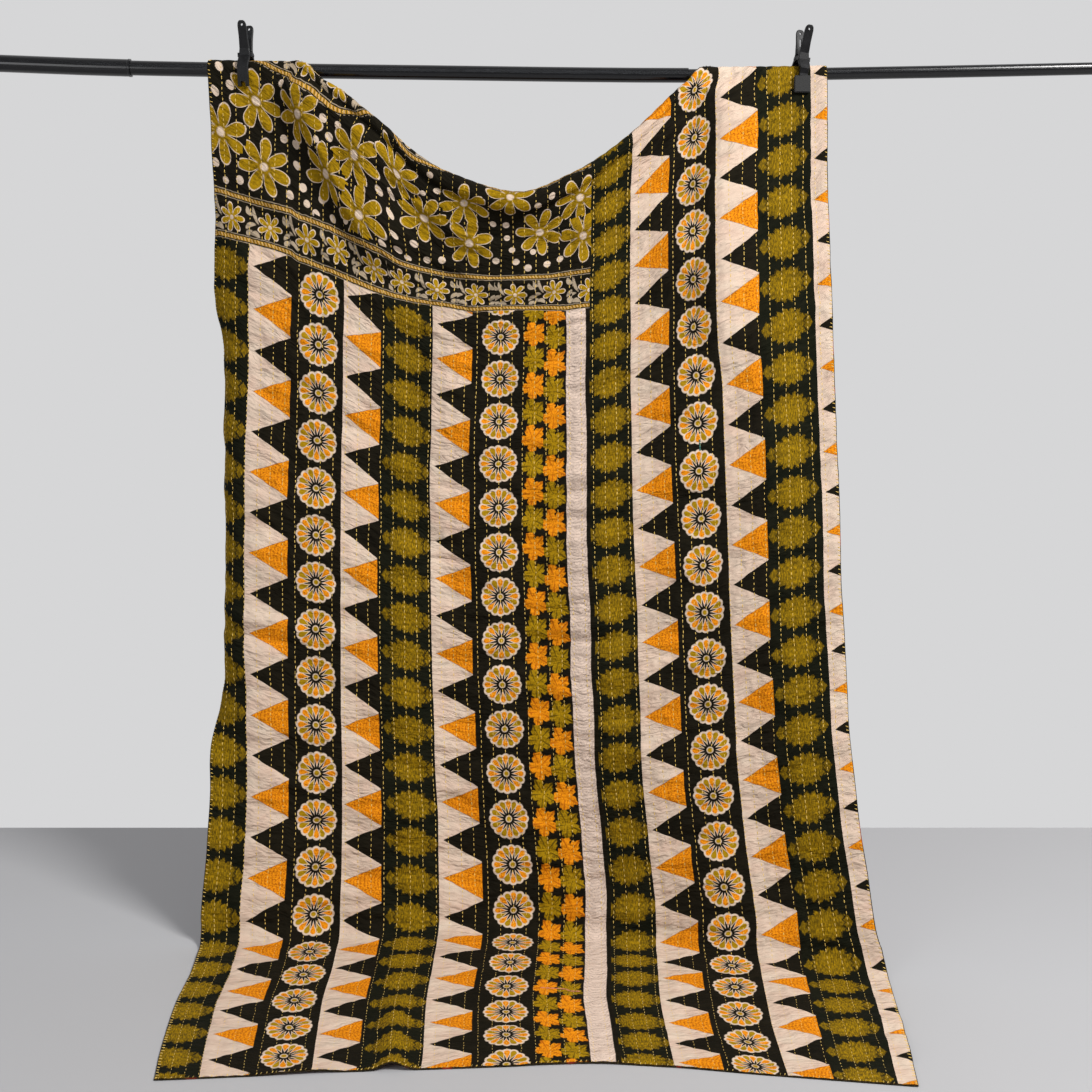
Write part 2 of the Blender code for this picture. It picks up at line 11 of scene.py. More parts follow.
import bpy
import numpy as np
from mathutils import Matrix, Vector


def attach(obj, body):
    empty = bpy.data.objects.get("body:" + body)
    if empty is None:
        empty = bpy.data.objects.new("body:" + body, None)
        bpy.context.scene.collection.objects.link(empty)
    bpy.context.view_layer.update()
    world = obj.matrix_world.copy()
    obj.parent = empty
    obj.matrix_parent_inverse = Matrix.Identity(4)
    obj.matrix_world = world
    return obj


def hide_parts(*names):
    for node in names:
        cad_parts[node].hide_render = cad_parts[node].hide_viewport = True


# ---- the drape, with the solid's own numbers, but for the creases: here the first three are
# deeper, the first two lean over, and the pleat at 1.115 is new
CLOTH_WIDTH = 1.335
CLOTH_THICK = 0.003
QUILTING_RELIEF = 0.0010  # the cloth stands this much higher between two rows of stitches
STITCHED_CHANNELS = 52  # lengthwise channels between the rows of running stitch
ROD_PLANE = (0.0174, 0.0148)  # how far in front of the rod's axis the left and right sides hang
RIGHT_PLANE_FROM = 1.091  # across
SIDE_STRIP = 0.075  # the left side's strip that rolls back
ROD_Y = 0.4230  # the rod stands behind the middle of the drape

RodPoint = namedtuple("RodPoint", "x height")
ROD_LINE = (
    RodPoint(-1.18, 1.8130),
    RodPoint(-0.87, 1.8024),
    RodPoint(-0.28, 1.7935),
    RodPoint(0.30, 1.7876),
    RodPoint(0.75, 1.7935),
    RodPoint(1.18, 1.8020),
)

# The top fold, from the left side to the right. drop: its centre below the rod's axis.
# forward: the front layer in front of the rod's axis. roll: the fold's radius.
# flap: the cloth behind the fold.
Fold = namedtuple("Fold", "across drop forward roll flap")
TOP_FOLD = (
    Fold(0.000, 0.0000, 0.0174, 0.0174, 0.105),
    Fold(0.095, 0.0000, 0.0174, 0.0174, 0.100),
    Fold(0.115, 0.0000, 0.0174, 0.0174, 0.072),
    Fold(0.128, 0.0000, 0.0174, 0.0174, 0.034),
    Fold(0.141, 0.0000, 0.0174, 0.0174, 0.022),
    Fold(0.154, 0.0000, 0.0174, 0.0174, 0.012),
    Fold(0.162, 0.0000, 0.0174, 0.0174, 0.006),
    Fold(0.174, -0.0077, 0.0182, 0.0100, 0.002),
    Fold(0.187, -0.0045, 0.0251, 0.0090, 0.002),
    Fold(0.200, 0.0030, 0.0312, 0.0090, 0.003),
    Fold(0.214, 0.0200, 0.0380, 0.0100, 0.008),
    Fold(0.235, 0.0370, 0.0450, 0.0105, 0.020),
    Fold(0.262, 0.0510, 0.0520, 0.0105, 0.036),
    Fold(0.314, 0.0920, 0.0620, 0.0120, 0.050),
    Fold(0.366, 0.1330, 0.0710, 0.0140, 0.060),
    Fold(0.418, 0.1800, 0.0800, 0.0160, 0.075),
    Fold(0.499, 0.2300, 0.0900, 0.0190, 0.090),
    Fold(0.656, 0.2730, 0.1000, 0.0220, 0.098),
    Fold(0.773, 0.2320, 0.0920, 0.0210, 0.090),
    Fold(0.833, 0.1960, 0.0820, 0.0180, 0.078),
    Fold(0.908, 0.1390, 0.0700, 0.0150, 0.060),
    Fold(0.999, 0.0560, 0.0520, 0.0110, 0.036),
    Fold(1.020, 0.0380, 0.0440, 0.0105, 0.020),
    Fold(1.040, 0.0220, 0.0360, 0.0100, 0.008),
    Fold(1.054, 0.0036, 0.0293, 0.0090, 0.003),
    Fold(1.067, -0.0042, 0.0226, 0.0080, 0.002),
    Fold(1.080, -0.0066, 0.0163, 0.0090, 0.002),
    Fold(1.091, 0.0000, 0.0148, 0.0148, 0.004),
    Fold(1.104, 0.0000, 0.0148, 0.0148, 0.013),
    Fold(1.117, 0.0000, 0.0148, 0.0148, 0.022),
    Fold(1.130, 0.0000, 0.0148, 0.0148, 0.033),
    Fold(1.143, 0.0000, 0.0148, 0.0148, 0.070),
    Fold(1.160, 0.0000, 0.0148, 0.0148, 0.095),
    Fold(1.335, 0.0000, 0.0148, 0.0148, 0.105),
)

# Where the cloth reaches the floor and where its hem lies, in front of the rod's axis.
Foot = namedtuple("Foot", "across lands hem")
FEET = (
    Foot(0.000, 0.350, 0.858),
    Foot(0.110, 0.341, 0.849),
    Foot(0.222, 0.330, 0.840),
    Foot(0.330, 0.315, 0.830),
    Foot(0.440, 0.300, 0.824),
    Foot(0.615, 0.290, 0.812),
    Foot(0.760, 0.320, 0.802),
    Foot(0.900, 0.360, 0.814),
    Foot(1.050, 0.410, 0.838),
    Foot(1.335, 0.500, 0.878),
)

# The side view: what share of the way forward the cloth has gone at each height.
Lean = namedtuple("Lean", "height share")
LEAN = (
    Lean(0.052, 1.00),
    Lean(0.150, 0.88),
    Lean(0.300, 0.74),
    Lean(0.600, 0.54),
    Lean(1.000, 0.32),
    Lean(1.400, 0.14),
    Lean(1.740, 0.00),
    Lean(1.820, 0.00),
)
BEND_RADIUS = 0.05  # of the turn from hanging to lying
LYING = CLOTH_THICK / 2  # the height of the cloth's middle where it lies on the floor
TOP_HEIGHT = 1.812  # down is travel, plus how far the top of the fold lies below this height
BULGE_FADES = 0.06  # the height over which the drooping fold falls back into the cloth below
CREASE_FADES = 0.25  # the share of a crease's length over which its ends die away
LIFT_STARTS = 0.04  # a crease grows to its height over this much travel below the top fold
FOLD_STEPS, HANGING_STEPS, BEND_STEPS = 25, 300, 17  # points along each part of a side view
TANGENT_STEP = 0.001  # the height over which the cloth's slope below the fold is taken

# The cloth's columns at places down it: its left side laid flat, three columns of rosettes
# and its right side, as world X, and how far the left side rolls back, in degrees.
Section = namedtuple("Section", "down left a b c right rolled")
STATIONS = ("left", "a", "b", "c", "right")
ACROSS = (0.0, 0.222, 0.615, 1.050, CLOTH_WIDTH)  # of each station
SECTIONS = (
    Section(-0.20, -0.707, -0.472, -0.094, 0.310, 0.587, 0),
    Section(0.00, -0.707, -0.472, -0.094, 0.310, 0.587, 0),
    Section(0.15, -0.703, -0.474, -0.095, 0.315, 0.590, 5),
    Section(0.30, -0.701, -0.476, -0.095, 0.314, 0.590, 24),
    Section(0.50, -0.707, -0.479, -0.096, 0.315, 0.597, 42),
    Section(0.62, -0.708, -0.480, -0.097, 0.316, 0.600, 80),
    Section(0.90, -0.719, -0.487, -0.102, 0.324, 0.606, 100),
    Section(1.20, -0.719, -0.488, -0.097, 0.334, 0.611, 97),
    Section(1.35, -0.710, -0.488, -0.092, 0.339, 0.616, 70),
    Section(1.50, -0.706, -0.484, -0.086, 0.344, 0.626, 0),
    Section(1.65, -0.708, -0.484, -0.076, 0.358, 0.639, 0),
    Section(1.80, -0.714, -0.486, -0.070, 0.372, 0.653, 0),
    Section(1.88, -0.709, -0.484, -0.071, 0.371, 0.668, 0),
    Section(1.96, -0.703, -0.481, -0.072, 0.366, 0.662, 0),
    Section(2.15, -0.694, -0.473, -0.076, 0.360, 0.641, 0),
    Section(2.38, -0.664, -0.452, -0.070, 0.362, 0.613, 0),
)

# Soft folds that stand out of the cloth. Each crest runs between two places in it, given as
# across and down. near and far are its widths on its left and right, and it leans over to
# the left by the given share of its height.
Crease = namedtuple("Crease", "across down to_across to_down height near far lean")
CREASES = (
    Crease(0.165, 0.03, 0.360, 0.42, 0.038, 0.036, 0.120, 0.4),
    Crease(0.300, 0.16, 0.560, 0.40, 0.012, 0.040, 0.080, 0.2),
    Crease(0.760, 0.40, 0.990, 0.10, 0.012, 0.060, 0.050, 0.0),
    Crease(1.115, 0.03, 1.110, 0.62, 0.024, 0.055, 0.060, 0.45),
    Crease(0.410, 1.00, 0.400, 1.60, 0.008, 0.060, 0.060, 0.0),
    Crease(0.820, 0.75, 0.800, 1.65, 0.009, 0.070, 0.070, 0.0),
    Crease(1.190, 0.50, 1.215, 1.60, 0.008, 0.060, 0.060, 0.0),
    Crease(0.600, 0.60, 0.590, 1.20, 0.006, 0.060, 0.080, 0.0),
    Crease(0.412, 2.16, 0.418, 2.50, 0.014, 0.022, 0.024, 0.0),
    Crease(1.120, 1.86, 1.170, 2.20, 0.007, 0.040, 0.050, 0.0),
)
STITCH_SPACING = CLOTH_WIDTH / STITCHED_CHANNELS

# Small waves in the cloth, as smooth noise this wide and this long.
Ripple = namedtuple("Ripple", "wide long height seed")
RIPPLES = (
    Ripple(0.130, 0.400, 0.0085, 11),
    Ripple(0.085, 0.120, 0.0046, 12),
    Ripple(0.100, 0.038, 0.0048, 13),
    Ripple(0.056, 0.019, 0.0032, 14),
)
NOISE_CELLS = 256  # after which the noise repeats
SWAY = Ripple(0.200, 0.110, 0.0018, 15)  # how the stripes waver from side to side
SLANT = 0.7  # the wrinkles climb towards the clips on both sides of the middle, steeper further out
SLANT_MIDDLE = 0.62
SLANT_AT_TOP, SLANT_LOSS, LEAST_SLANT = 1.2, 0.8, 0.2  # its share at the top, lost a metre, at the foot
RIPPLES_FADE = 0.10  # the travel below the top fold over which the ripples grow to their height
RIPPLE_ON_FLOOR = 0.6  # the share of the raised waves that is left where the cloth lies
RIPPLE_AT_SIDE = 0.3  # the share left at the side that rolls back

# ---- the mesh of the cloth
COLUMNS = 4 * STITCHED_CHANNELS
ROWS_ON_FLAP = 14
ROWS_ON_FOLD = 10
ROWS_ABOVE_EDGE = 66  # the lower edge of the flower panel
ROWS_BELOW_EDGE = 208
ROWS_ON_BEND = 14
ROWS_ON_FLOOR = 62
FOLD_ON_FLAP = 0.55  # the most of the flap that the fold's rows take up
HEM_POINTS = 7  # round the turned edge
CLOTH_OFF_FLOOR = 0.0002
THREAD_OFF_FLOOR = 0.0001
BAKED_ABOVE, BAKED_LENGTH = 0.4, 3.1  # the reverse's span of thread coordinates in its baked picture

# ---- the stitches
DASH_PITCH = 0.0106
DASH_LENGTH = 0.0068
DASH_WIDTH = 0.0019
TRODDEN = 0.45  # how much flatter and thinner the stitches on the floor are
DASH_LIFT = 0.0010
FIRST_STITCH, FIRST_VARIES = 0.012, 0.006  # from the hem to a line's first stitch, and how much more
STITCH_MARGIN = 0.01  # from a line's last stitch to the hem
PLACE_VARIES, HALF_VARIES, SWAY_VARIES = 0.0007, 0.0005, 0.0004  # of place, half length and line
SHORTEST_HALF, LONGEST_HALF = 0.0018, 0.0042
STITCH_SUNK = 0.0001
EDGE_PITCH = 0.0095  # of the stitches over the hem
EDGE_VARIES = 0.0012
EDGE_SLANT = 0.002
EDGE_LENGTHS = (0.0045, 0.0075)
EDGE_HALF_WIDTH = DASH_WIDTH / 2.4
EDGE_RAISED, EDGE_OVERHANG = 0.0003, 0.0004
MEND_POINTS, MEND_LIFT, MEND_HALF_WIDTH = 9, 0.0012, 0.0016
HUMP_RISES = 0.22  # the share of a stitch over which its thread rises
HUMP_FACES = ((0, 2, 1), (0, 3, 2), (1, 2, 5), (1, 5, 4), (2, 3, 6), (2, 6, 5), (4, 5, 7), (5, 6, 7))
PLY_PITCH = 0.0009  # of the thread's twist

# ---- the cotton
WEAVE = 0.0011  # from one thread of the weave to the second after it
PUCKER_HEIGHT, WRINKLE_HEIGHT, PRESSED_DEPTH, WEAVE_HEIGHT = 0.0040, 0.0084, 0.0010, 0.00005
COTTON_ROUGHNESS, COTTON_SPECULAR = 0.92, 0.08

# ---- the print
# The thread coordinate at each place down the cloth, in five columns across it. The stripes
# stretch and slant a little, as the cloth was printed and quilted by hand.
Thread = namedtuple("Thread", "down left a b c right")
THREADS = (
    Thread(0.0, 0.105, 0.027, -0.260, 0.004, 0.100),
    Thread(0.12, 0.225, 0.160, -0.140, 0.132, 0.217),
    Thread(0.3, 0.406, 0.360, 0.106, 0.324, 0.398),
    Thread(0.6, 0.707, 0.656, 0.517, 0.634, 0.693),
    Thread(0.9, 1.009, 0.966, 0.866, 0.944, 0.994),
    Thread(1.2, 1.310, 1.280, 1.195, 1.262, 1.315),
    Thread(1.5, 1.611, 1.589, 1.527, 1.591, 1.645),
    Thread(1.8, 1.912, 1.907, 1.852, 1.930, 1.985),
    Thread(2.0, 2.113, 2.106, 2.075, 2.162, 2.207),
    Thread(2.2, 2.314, 2.296, 2.271, 2.353, 2.410),
    Thread(2.4, 2.515, 2.501, 2.489, 2.599, 2.610),
)

# The stripes. A motif stands at middle and repeats each pitch from phase; scale is its width.
Stripe = namedtuple("Stripe", "kind start end middle scale phase pitch")
STRIPES = (
    Stripe("ovals", 0.0000, 0.0780, 0.0250, 0.0863, 0.5278, 0.0863),
    Stripe("triangles", 0.0780, 0.1650, 0.0885, 0.0765, 0.6110, 0.1737),
    Stripe("rosettes", 0.1650, 0.2750, 0.2230, 0.1040, 0.5481, 0.1040),
    Stripe("triangles", 0.2750, 0.3600, 0.2800, 0.0740, 0.6182, 0.1727),
    Stripe("ovals", 0.3600, 0.4675, 0.4150, 0.0857, 0.4404, 0.0857),
    Stripe("triangles", 0.4675, 0.5540, 0.4770, 0.0770, 0.5898, 0.1730),
    Stripe("rosettes", 0.5540, 0.6665, 0.6160, 0.1040, 0.5146, 0.1040),
    Stripe("leaves", 0.6665, 0.7125, 0.6900, 0.0640, 0.5120, 0.1282),
    Stripe("leaves", 0.7125, 0.7620, 0.7350, 0.0640, 0.4645, 0.1271),
    Stripe("plain_strip", 0.7620, 0.8155, 0.7845, 0.0430, 0.0000, 0.1000),
    Stripe("ovals", 0.8155, 0.9060, 0.8580, 0.0861, 0.1485, 0.0861),
    Stripe("triangles", 0.9060, 0.9910, 0.9150, 0.0760, 0.2381, 0.1720),
    Stripe("rosettes", 0.9910, 1.1030, 1.0490, 0.1040, 0.0731, 0.1040),
    Stripe("triangles", 1.1030, 1.1850, 1.1120, 0.0730, 0.2062, 0.1753),
    Stripe("ovals", 1.1850, 1.3000, 1.2400, 0.0878, 0.1110, 0.0878),
    Stripe("triangles", 1.3000, 1.3350, 1.3070, 0.0860, 0.2117, 0.1757),
)

# The flower panel lies left of PANEL_END and above its lower edge. Heights in it are measured up
# from that edge, in a unit that puts the ropes at LOWER_ROPE_UP and MIDDLE_ROPE_UP.
PANEL_END = 0.8155
LOWER_ROPE_UP = 0.0065
MIDDLE_ROPE_UP = 0.080
BAND_TOP = 0.093

# Spots are pixels of the camera's square picture. Sight finds the cloth that is seen at each.
PICTURE_WIDE = 1092
Spot = namedtuple("Spot", "column row")
LOWER_ROPE = (
    Spot(220, 233), Spot(260, 243), Spot(280, 249), Spot(400, 297), Spot(440, 304), Spot(480, 309),
    Spot(560, 308), Spot(590, 305),
)
MIDDLE_ROPE = (
    Spot(217, 190), Spot(260, 203), Spot(300, 217), Spot(340, 233), Spot(380, 251), Spot(400, 263),
    Spot(420, 269), Spot(460, 276), Spot(500, 278), Spot(540, 277), Spot(580, 272), Spot(592, 270),
)
UPPER_ROPE = (
    Spot(262, 65), Spot(300, 88), Spot(340, 115), Spot(400, 148), Spot(440, 170), Spot(500, 191),
    Spot(560, 180),
)
SeenFlower = namedtuple("SeenFlower", "column row size turn")
FLOWERS = (
    SeenFlower(256, 101, 0.057, 44),
    SeenFlower(221, 132, 0.057, 25),
    SeenFlower(264, 167, 0.057, 35),
    SeenFlower(297, 114, 0.056, 43),
    SeenFlower(326, 174, 0.057, 43),
    SeenFlower(354, 155, 0.056, 33),
    SeenFlower(397, 174, 0.050, 38),
    SeenFlower(359, 215, 0.057, 38),
    SeenFlower(424, 218, 0.057, 8),
    SeenFlower(469, 243, 0.057, 26),
    SeenFlower(464, 203, 0.057, 38),
    SeenFlower(510, 197, 0.057, 13),
    SeenFlower(540, 232, 0.057, 20),
    SeenFlower(580, 197, 0.057, 18),
    SeenFlower(583, 236, 0.057, 14),
)
SMALL_FLOWER_SIZE = 0.028
PETALS = 7
SMALL_FLOWERS = (
    Spot(232, 217), Spot(270, 228), Spot(307, 240), Spot(338, 250), Spot(374, 268), Spot(402, 282),
    Spot(437, 290), Spot(476, 295), Spot(515, 295), Spot(554, 292), Spot(589, 290),
)
SeenDot = namedtuple("SeenDot", "column row radius")
DOTS = (
    SeenDot(219, 66, 0.0080), SeenDot(236, 65, 0.0060), SeenDot(230, 85, 0.0080),
    SeenDot(215, 91, 0.0080), SeenDot(281, 83, 0.0070), SeenDot(323, 118, 0.0075),
    SeenDot(338, 125, 0.0065), SeenDot(329, 137, 0.0080), SeenDot(316, 139, 0.0060),
    SeenDot(284, 139, 0.0075), SeenDot(296, 145, 0.0075), SeenDot(297, 166, 0.0075),
    SeenDot(216, 162, 0.0075), SeenDot(226, 180, 0.0065), SeenDot(240, 180, 0.0080),
    SeenDot(303, 188, 0.0080), SeenDot(290, 195, 0.0080), SeenDot(322, 200, 0.0075),
    SeenDot(307, 204, 0.0070), SeenDot(316, 214, 0.0080), SeenDot(333, 219, 0.0075),
    SeenDot(346, 220, 0.0070), SeenDot(381, 149, 0.0075), SeenDot(379, 190, 0.0080),
    SeenDot(391, 195, 0.0075), SeenDot(390, 214, 0.0080), SeenDot(394, 235, 0.0070),
    SeenDot(382, 243, 0.0065), SeenDot(398, 250, 0.0075), SeenDot(430, 175, 0.0070),
    SeenDot(423, 193, 0.0060), SeenDot(437, 191, 0.0075), SeenDot(414, 244, 0.0080),
    SeenDot(408, 258, 0.0070), SeenDot(427, 260, 0.0080), SeenDot(442, 260, 0.0080),
    SeenDot(493, 224, 0.0070), SeenDot(506, 225, 0.0075), SeenDot(507, 238, 0.0070),
    SeenDot(512, 250, 0.0070), SeenDot(533, 252, 0.0065), SeenDot(496, 261, 0.0080),
    SeenDot(516, 262, 0.0080), SeenDot(528, 268, 0.0080), SeenDot(547, 264, 0.0080),
    SeenDot(560, 259, 0.0075), SeenDot(538, 206, 0.0075), SeenDot(552, 196, 0.0070),
)

# Those that are out of sight, over the ridge and on the flap.
Motif = namedtuple("Motif", "across up size turn")
HIDDEN_FLOWERS = (
    Motif(0.060, 0.480, 0.056, 15),
    Motif(0.170, 0.520, 0.054, 35),
    Motif(0.290, 0.475, 0.058, 5),
    Motif(0.400, 0.525, 0.054, 22),
    Motif(0.515, 0.478, 0.058, 10),
    Motif(0.625, 0.520, 0.056, 28),
    Motif(0.740, 0.476, 0.058, 18),
)
HIDDEN_DOTS = (
    Motif(0.115, 0.465, 0.0080, 0),
    Motif(0.230, 0.480, 0.0080, 0),
    Motif(0.345, 0.500, 0.0080, 0),
    Motif(0.460, 0.510, 0.0080, 0),
    Motif(0.570, 0.490, 0.0080, 0),
    Motif(0.680, 0.500, 0.0080, 0),
    Motif(0.125, 0.505, 0.0070, 0),
    Motif(0.235, 0.525, 0.0070, 0),
)
# The leaves of the vine about the middle between two small flowers, in units of a flower's size.
VINE_MIDDLE = 1.40
Blade = namedtuple("Blade", "x y turn long wide")
BLADES = (
    Blade(0.24, 0.50, 112, 0.58, 0.120),
    Blade(-0.22, 0.62, 135, 0.34, 0.180),
    Blade(-0.06, -0.18, 32, 0.40, 0.150),
    Blade(-0.14, -0.70, 60, 0.30, 0.160),
    Blade(0.42, -0.66, -14, 0.34, 0.180),
)

# ---- the photograph's view
CAMERA_PLACE = (0.0, ROD_Y - 3.1, 1.25)
CAMERA_DOWN = 8.5  # degrees
CAMERA_LENS = 46.81  # mm
SENSOR_WIDE = 36  # mm
BEHIND_COSTS = 2.0  # pixels of distance for each metre that a place lies further back
FIRST_EDGE = 0.46  # a first guess of how far down the panel's edge lies
OUT_OF_SIGHT = 1e6  # pixels, for places that face away
MOST_CELLS = 2  # how far a spot may lie from the nearest point of the grid
FLOOR_SIDE, FLOOR_FRONT, FLOOR_BACK = 4, -5, 0.81  # the floor's edges


def column(table, name):
    return np.array([getattr(row, name) for row in table], float)


def unit(vectors):
    return vectors / np.linalg.norm(vectors, axis=-1, keepdims=True)


def eased(share):
    """From 0 to 1 with a level start and end."""
    return (3 - 2 * share) * share**2


def smooth(at, knots, values):
    """A curve through the values at the knots, with no overshoot between them.

    values holds one number a knot, or for a single place at, one row of numbers a knot."""
    knots = np.asarray(knots, float)
    values = np.asarray(values, float)
    steps = np.diff(knots).reshape(-1, *[1] * (values.ndim - 1))
    slopes = np.diff(values, axis=0) / steps
    middle = np.where(
        slopes[:-1] * slopes[1:] > 0,
        2 * slopes[:-1] * slopes[1:] / (slopes[:-1] + slopes[1:] + 1e-30),
        0.0,
    )
    tangents = np.concatenate([slopes[:1], middle, slopes[-1:]])
    at = np.clip(np.asarray(at, float), knots[0], knots[-1])
    i = np.clip(np.searchsorted(knots, at, side="right") - 1, 0, len(steps) - 1)
    t = (at - knots[i]) / np.diff(knots)[i]
    return (
        (1 + 2 * t) * (1 - t) ** 2 * values[i]
        + t * (1 - t) ** 2 * steps[i] * tangents[i]
        + t * t * (3 - 2 * t) * values[i + 1]
        - t * t * (1 - t) * steps[i] * tangents[i + 1]
    )


def read(table, key, name, at):
    return smooth(at, column(table, key), column(table, name))


def rod_height(x):
    return read(ROD_LINE, "x", "height", x)


def section_x(across, down):
    """World X of the cloth at these cloth coordinates, before its left side rolls back."""
    stations = [read(SECTIONS, "down", name, down) for name in STATIONS]
    return smooth(across, ACROSS, stations)


def thread_at(across, down):
    """The thread coordinate: how far along the printed stripes a place in the cloth is."""
    inside = np.clip(down, THREADS[0].down, THREADS[-1].down)
    stations = [np.interp(inside, column(THREADS, "down"), column(THREADS, name)) for name in STATIONS]
    return smooth(across, ACROSS, stations) + (down - inside)


class SideView:
    """The cloth's side view at one place across.

    Travel along it is 0 at the top of the fold, positive down the front to the hem and negative
    down the flap. line holds rows of travel, distance in front of the rod's axis, and height."""

    def __init__(self, across):
        drop, fold_forward, self.roll, self.flap = (
            float(read(TOP_FOLD, "across", name, across)) for name in Fold._fields[1:]
        )
        self.lands, self.hem = (float(read(FEET, "across", name, across)) for name in Foot._fields[1:])
        self.centre = float(rod_height(section_x(across, 0.0))) - drop
        left, right = ROD_PLANE
        self.plane = left + (right - left) * min(1.0, across / RIGHT_PLANE_FROM)
        self.bulge = 0.0
        self.bulge = fold_forward - float(self.forward(self.centre))
        below = float(self.forward(self.centre - TANGENT_STEP))
        leaning = math.atan((below - fold_forward) / TANGENT_STEP)
        fold = self.fold_arc(fold_forward, leaning)
        tail = np.array([[fold[0, 0], self.centre - 2 * self.flap]])
        hanging = self.hanging(fold[-1, 1])
        line = np.concatenate([tail, fold, hanging, self.bend(hanging[-1, 0])])
        travel = np.concatenate([[0], np.cumsum(np.hypot(*np.diff(line, axis=0).T))])
        top = travel[1 + int(np.argmax(fold[:, 1]))]
        self.line = np.column_stack([travel - top, line])
        self.quarter = travel[len(fold)] - top  # from the top of the fold to the front layer
        self.bends_at = travel[len(fold) + len(hanging)] - top
        self.length = travel[-1] - top
        self.below_top = TOP_HEIGHT - float(np.max(fold[:, 1]))

    def forward(self, height):
        share = read(LEAN, "height", "share", height)
        plain = self.plane + (self.lands - BEND_RADIUS - self.plane) * share
        return plain + self.bulge * np.exp((height - self.centre) / BULGE_FADES)

    def fold_arc(self, fold_forward, leaning):
        """From the back of the top fold, over it, to where the front layer leaves it."""
        turn = np.linspace(math.pi, leaning, FOLD_STEPS)
        centre = fold_forward - self.roll * math.cos(leaning)
        return np.stack([centre + self.roll * np.cos(turn), self.centre + self.roll * np.sin(turn)], 1)

    def hanging(self, highest):
        height = np.linspace(highest, LYING + BEND_RADIUS, HANGING_STEPS)[1:]
        return np.stack([self.forward(height), height], 1)

    def bend(self, begins):
        turn = np.linspace(0, math.pi / 2, BEND_STEPS)[1:]
        forward = begins + BEND_RADIUS * (1 - np.cos(turn))
        height = LYING + BEND_RADIUS * (1 - np.sin(turn))
        return np.concatenate([np.stack([forward, height], 1), [[self.hem, LYING]]])

    def at(self, travel):
        """Distance in front of the rod's axis, and height."""
        return [np.interp(travel, self.line[:, 0], self.line[:, k]) for k in (1, 2)]

    def rows(self, edge):
        """The travels of the mesh's rows, from the flap's hem to the front's. One row is at edge."""
        over = min(self.quarter, FOLD_ON_FLAP * self.flap)
        past_bend = self.bends_at + math.pi / 2 * BEND_RADIUS
        spans = (
            (-self.flap, -over, ROWS_ON_FLAP),
            (-over, 0, ROWS_ON_FOLD),
            (0, self.quarter, ROWS_ON_FOLD),
            (self.quarter, edge, ROWS_ABOVE_EDGE),
            (edge, self.bends_at, ROWS_BELOW_EDGE),
            (self.bends_at, past_bend, ROWS_ON_BEND),
            (past_bend, self.length, ROWS_ON_FLOOR),
        )
        rows = [np.linspace(start, end, count, endpoint=False) for start, end, count in spans]
        return np.concatenate([*rows, [self.length]])


def side_roll(across, rolled):
    """How far the rolled left side moves the cloth to the right and back."""
    if across >= SIDE_STRIP:
        return 0.0, 0.0
    angle = np.radians(np.maximum(rolled, 1.0))
    inside = (SIDE_STRIP - across) / SIDE_STRIP
    radius = SIDE_STRIP / angle
    shift = SIDE_STRIP - across - radius * np.sin(angle * inside)
    return shift, radius * (1 - np.cos(angle * inside))


def crease_lift(across, down):
    """How far the creases lift the cloth here, and how far they push it to the left."""
    lift, push = np.zeros_like(down), np.zeros_like(down)
    for crease in CREASES:
        run = np.array([crease.to_across - crease.across, crease.to_down - crease.down])
        offset = np.stack([np.full_like(down, across - crease.across), down - crease.down])
        length = math.hypot(*run)
        along = run @ offset / length**2
        aside = (run[1] * offset[0] - run[0] * offset[1]) / length
        width = np.where(aside > 0, crease.far, crease.near)
        ends = np.clip(np.minimum(along, 1 - along) / CREASE_FADES + 0.5, 0, 1)
        height = crease.height * eased(ends) * np.exp(-((aside / width) ** 2))
        lift += height
        push += height * crease.lean
    return np.array([lift, push])


def soft_noise(x, y, seed):
    """Smooth seeded noise from -1 to 1, with features one unit wide."""
    lattice = np.random.default_rng(seed).uniform(-1, 1, (NOISE_CELLS, NOISE_CELLS))
    i, j = np.floor(x).astype(int), np.floor(y).astype(int)
    tx, ty = eased(x - i), eased(y - j)
    low, high = (
        lattice[i % NOISE_CELLS, row] * (1 - tx) + lattice[(i + 1) % NOISE_CELLS, row] * tx
        for row in (j % NOISE_CELLS, (j + 1) % NOISE_CELLS)
    )
    return low * (1 - ty) + high * ty


def ripple_height(across, thread):
    """The small waves of quilted cloth: long soft folds, and puckers that run along the weft."""
    height = np.zeros_like(thread)
    fades = np.clip(SLANT_AT_TOP - thread * SLANT_LOSS, LEAST_SLANT, 1.0)
    slanted = thread + (across - SLANT_MIDDLE) ** 2 * (SLANT / 2) * fades
    for ripple in RIPPLES:
        height += ripple.height * soft_noise(across / ripple.wide, slanted / ripple.long, ripple.seed)
    return height


def column_places():
    """Across of each column of the mesh: four to a stitched channel, and one at each stripe's edge."""
    places = np.arange(COLUMNS + 1) * CLOTH_WIDTH / COLUMNS
    free = [i for i in range(1, COLUMNS) if i % 4]
    for stripe in STRIPES[1:]:
        nearest = min(free, key=lambda i: abs(places[i] - stripe.start))
        places[nearest] = stripe.start
        free.remove(nearest)
    return places


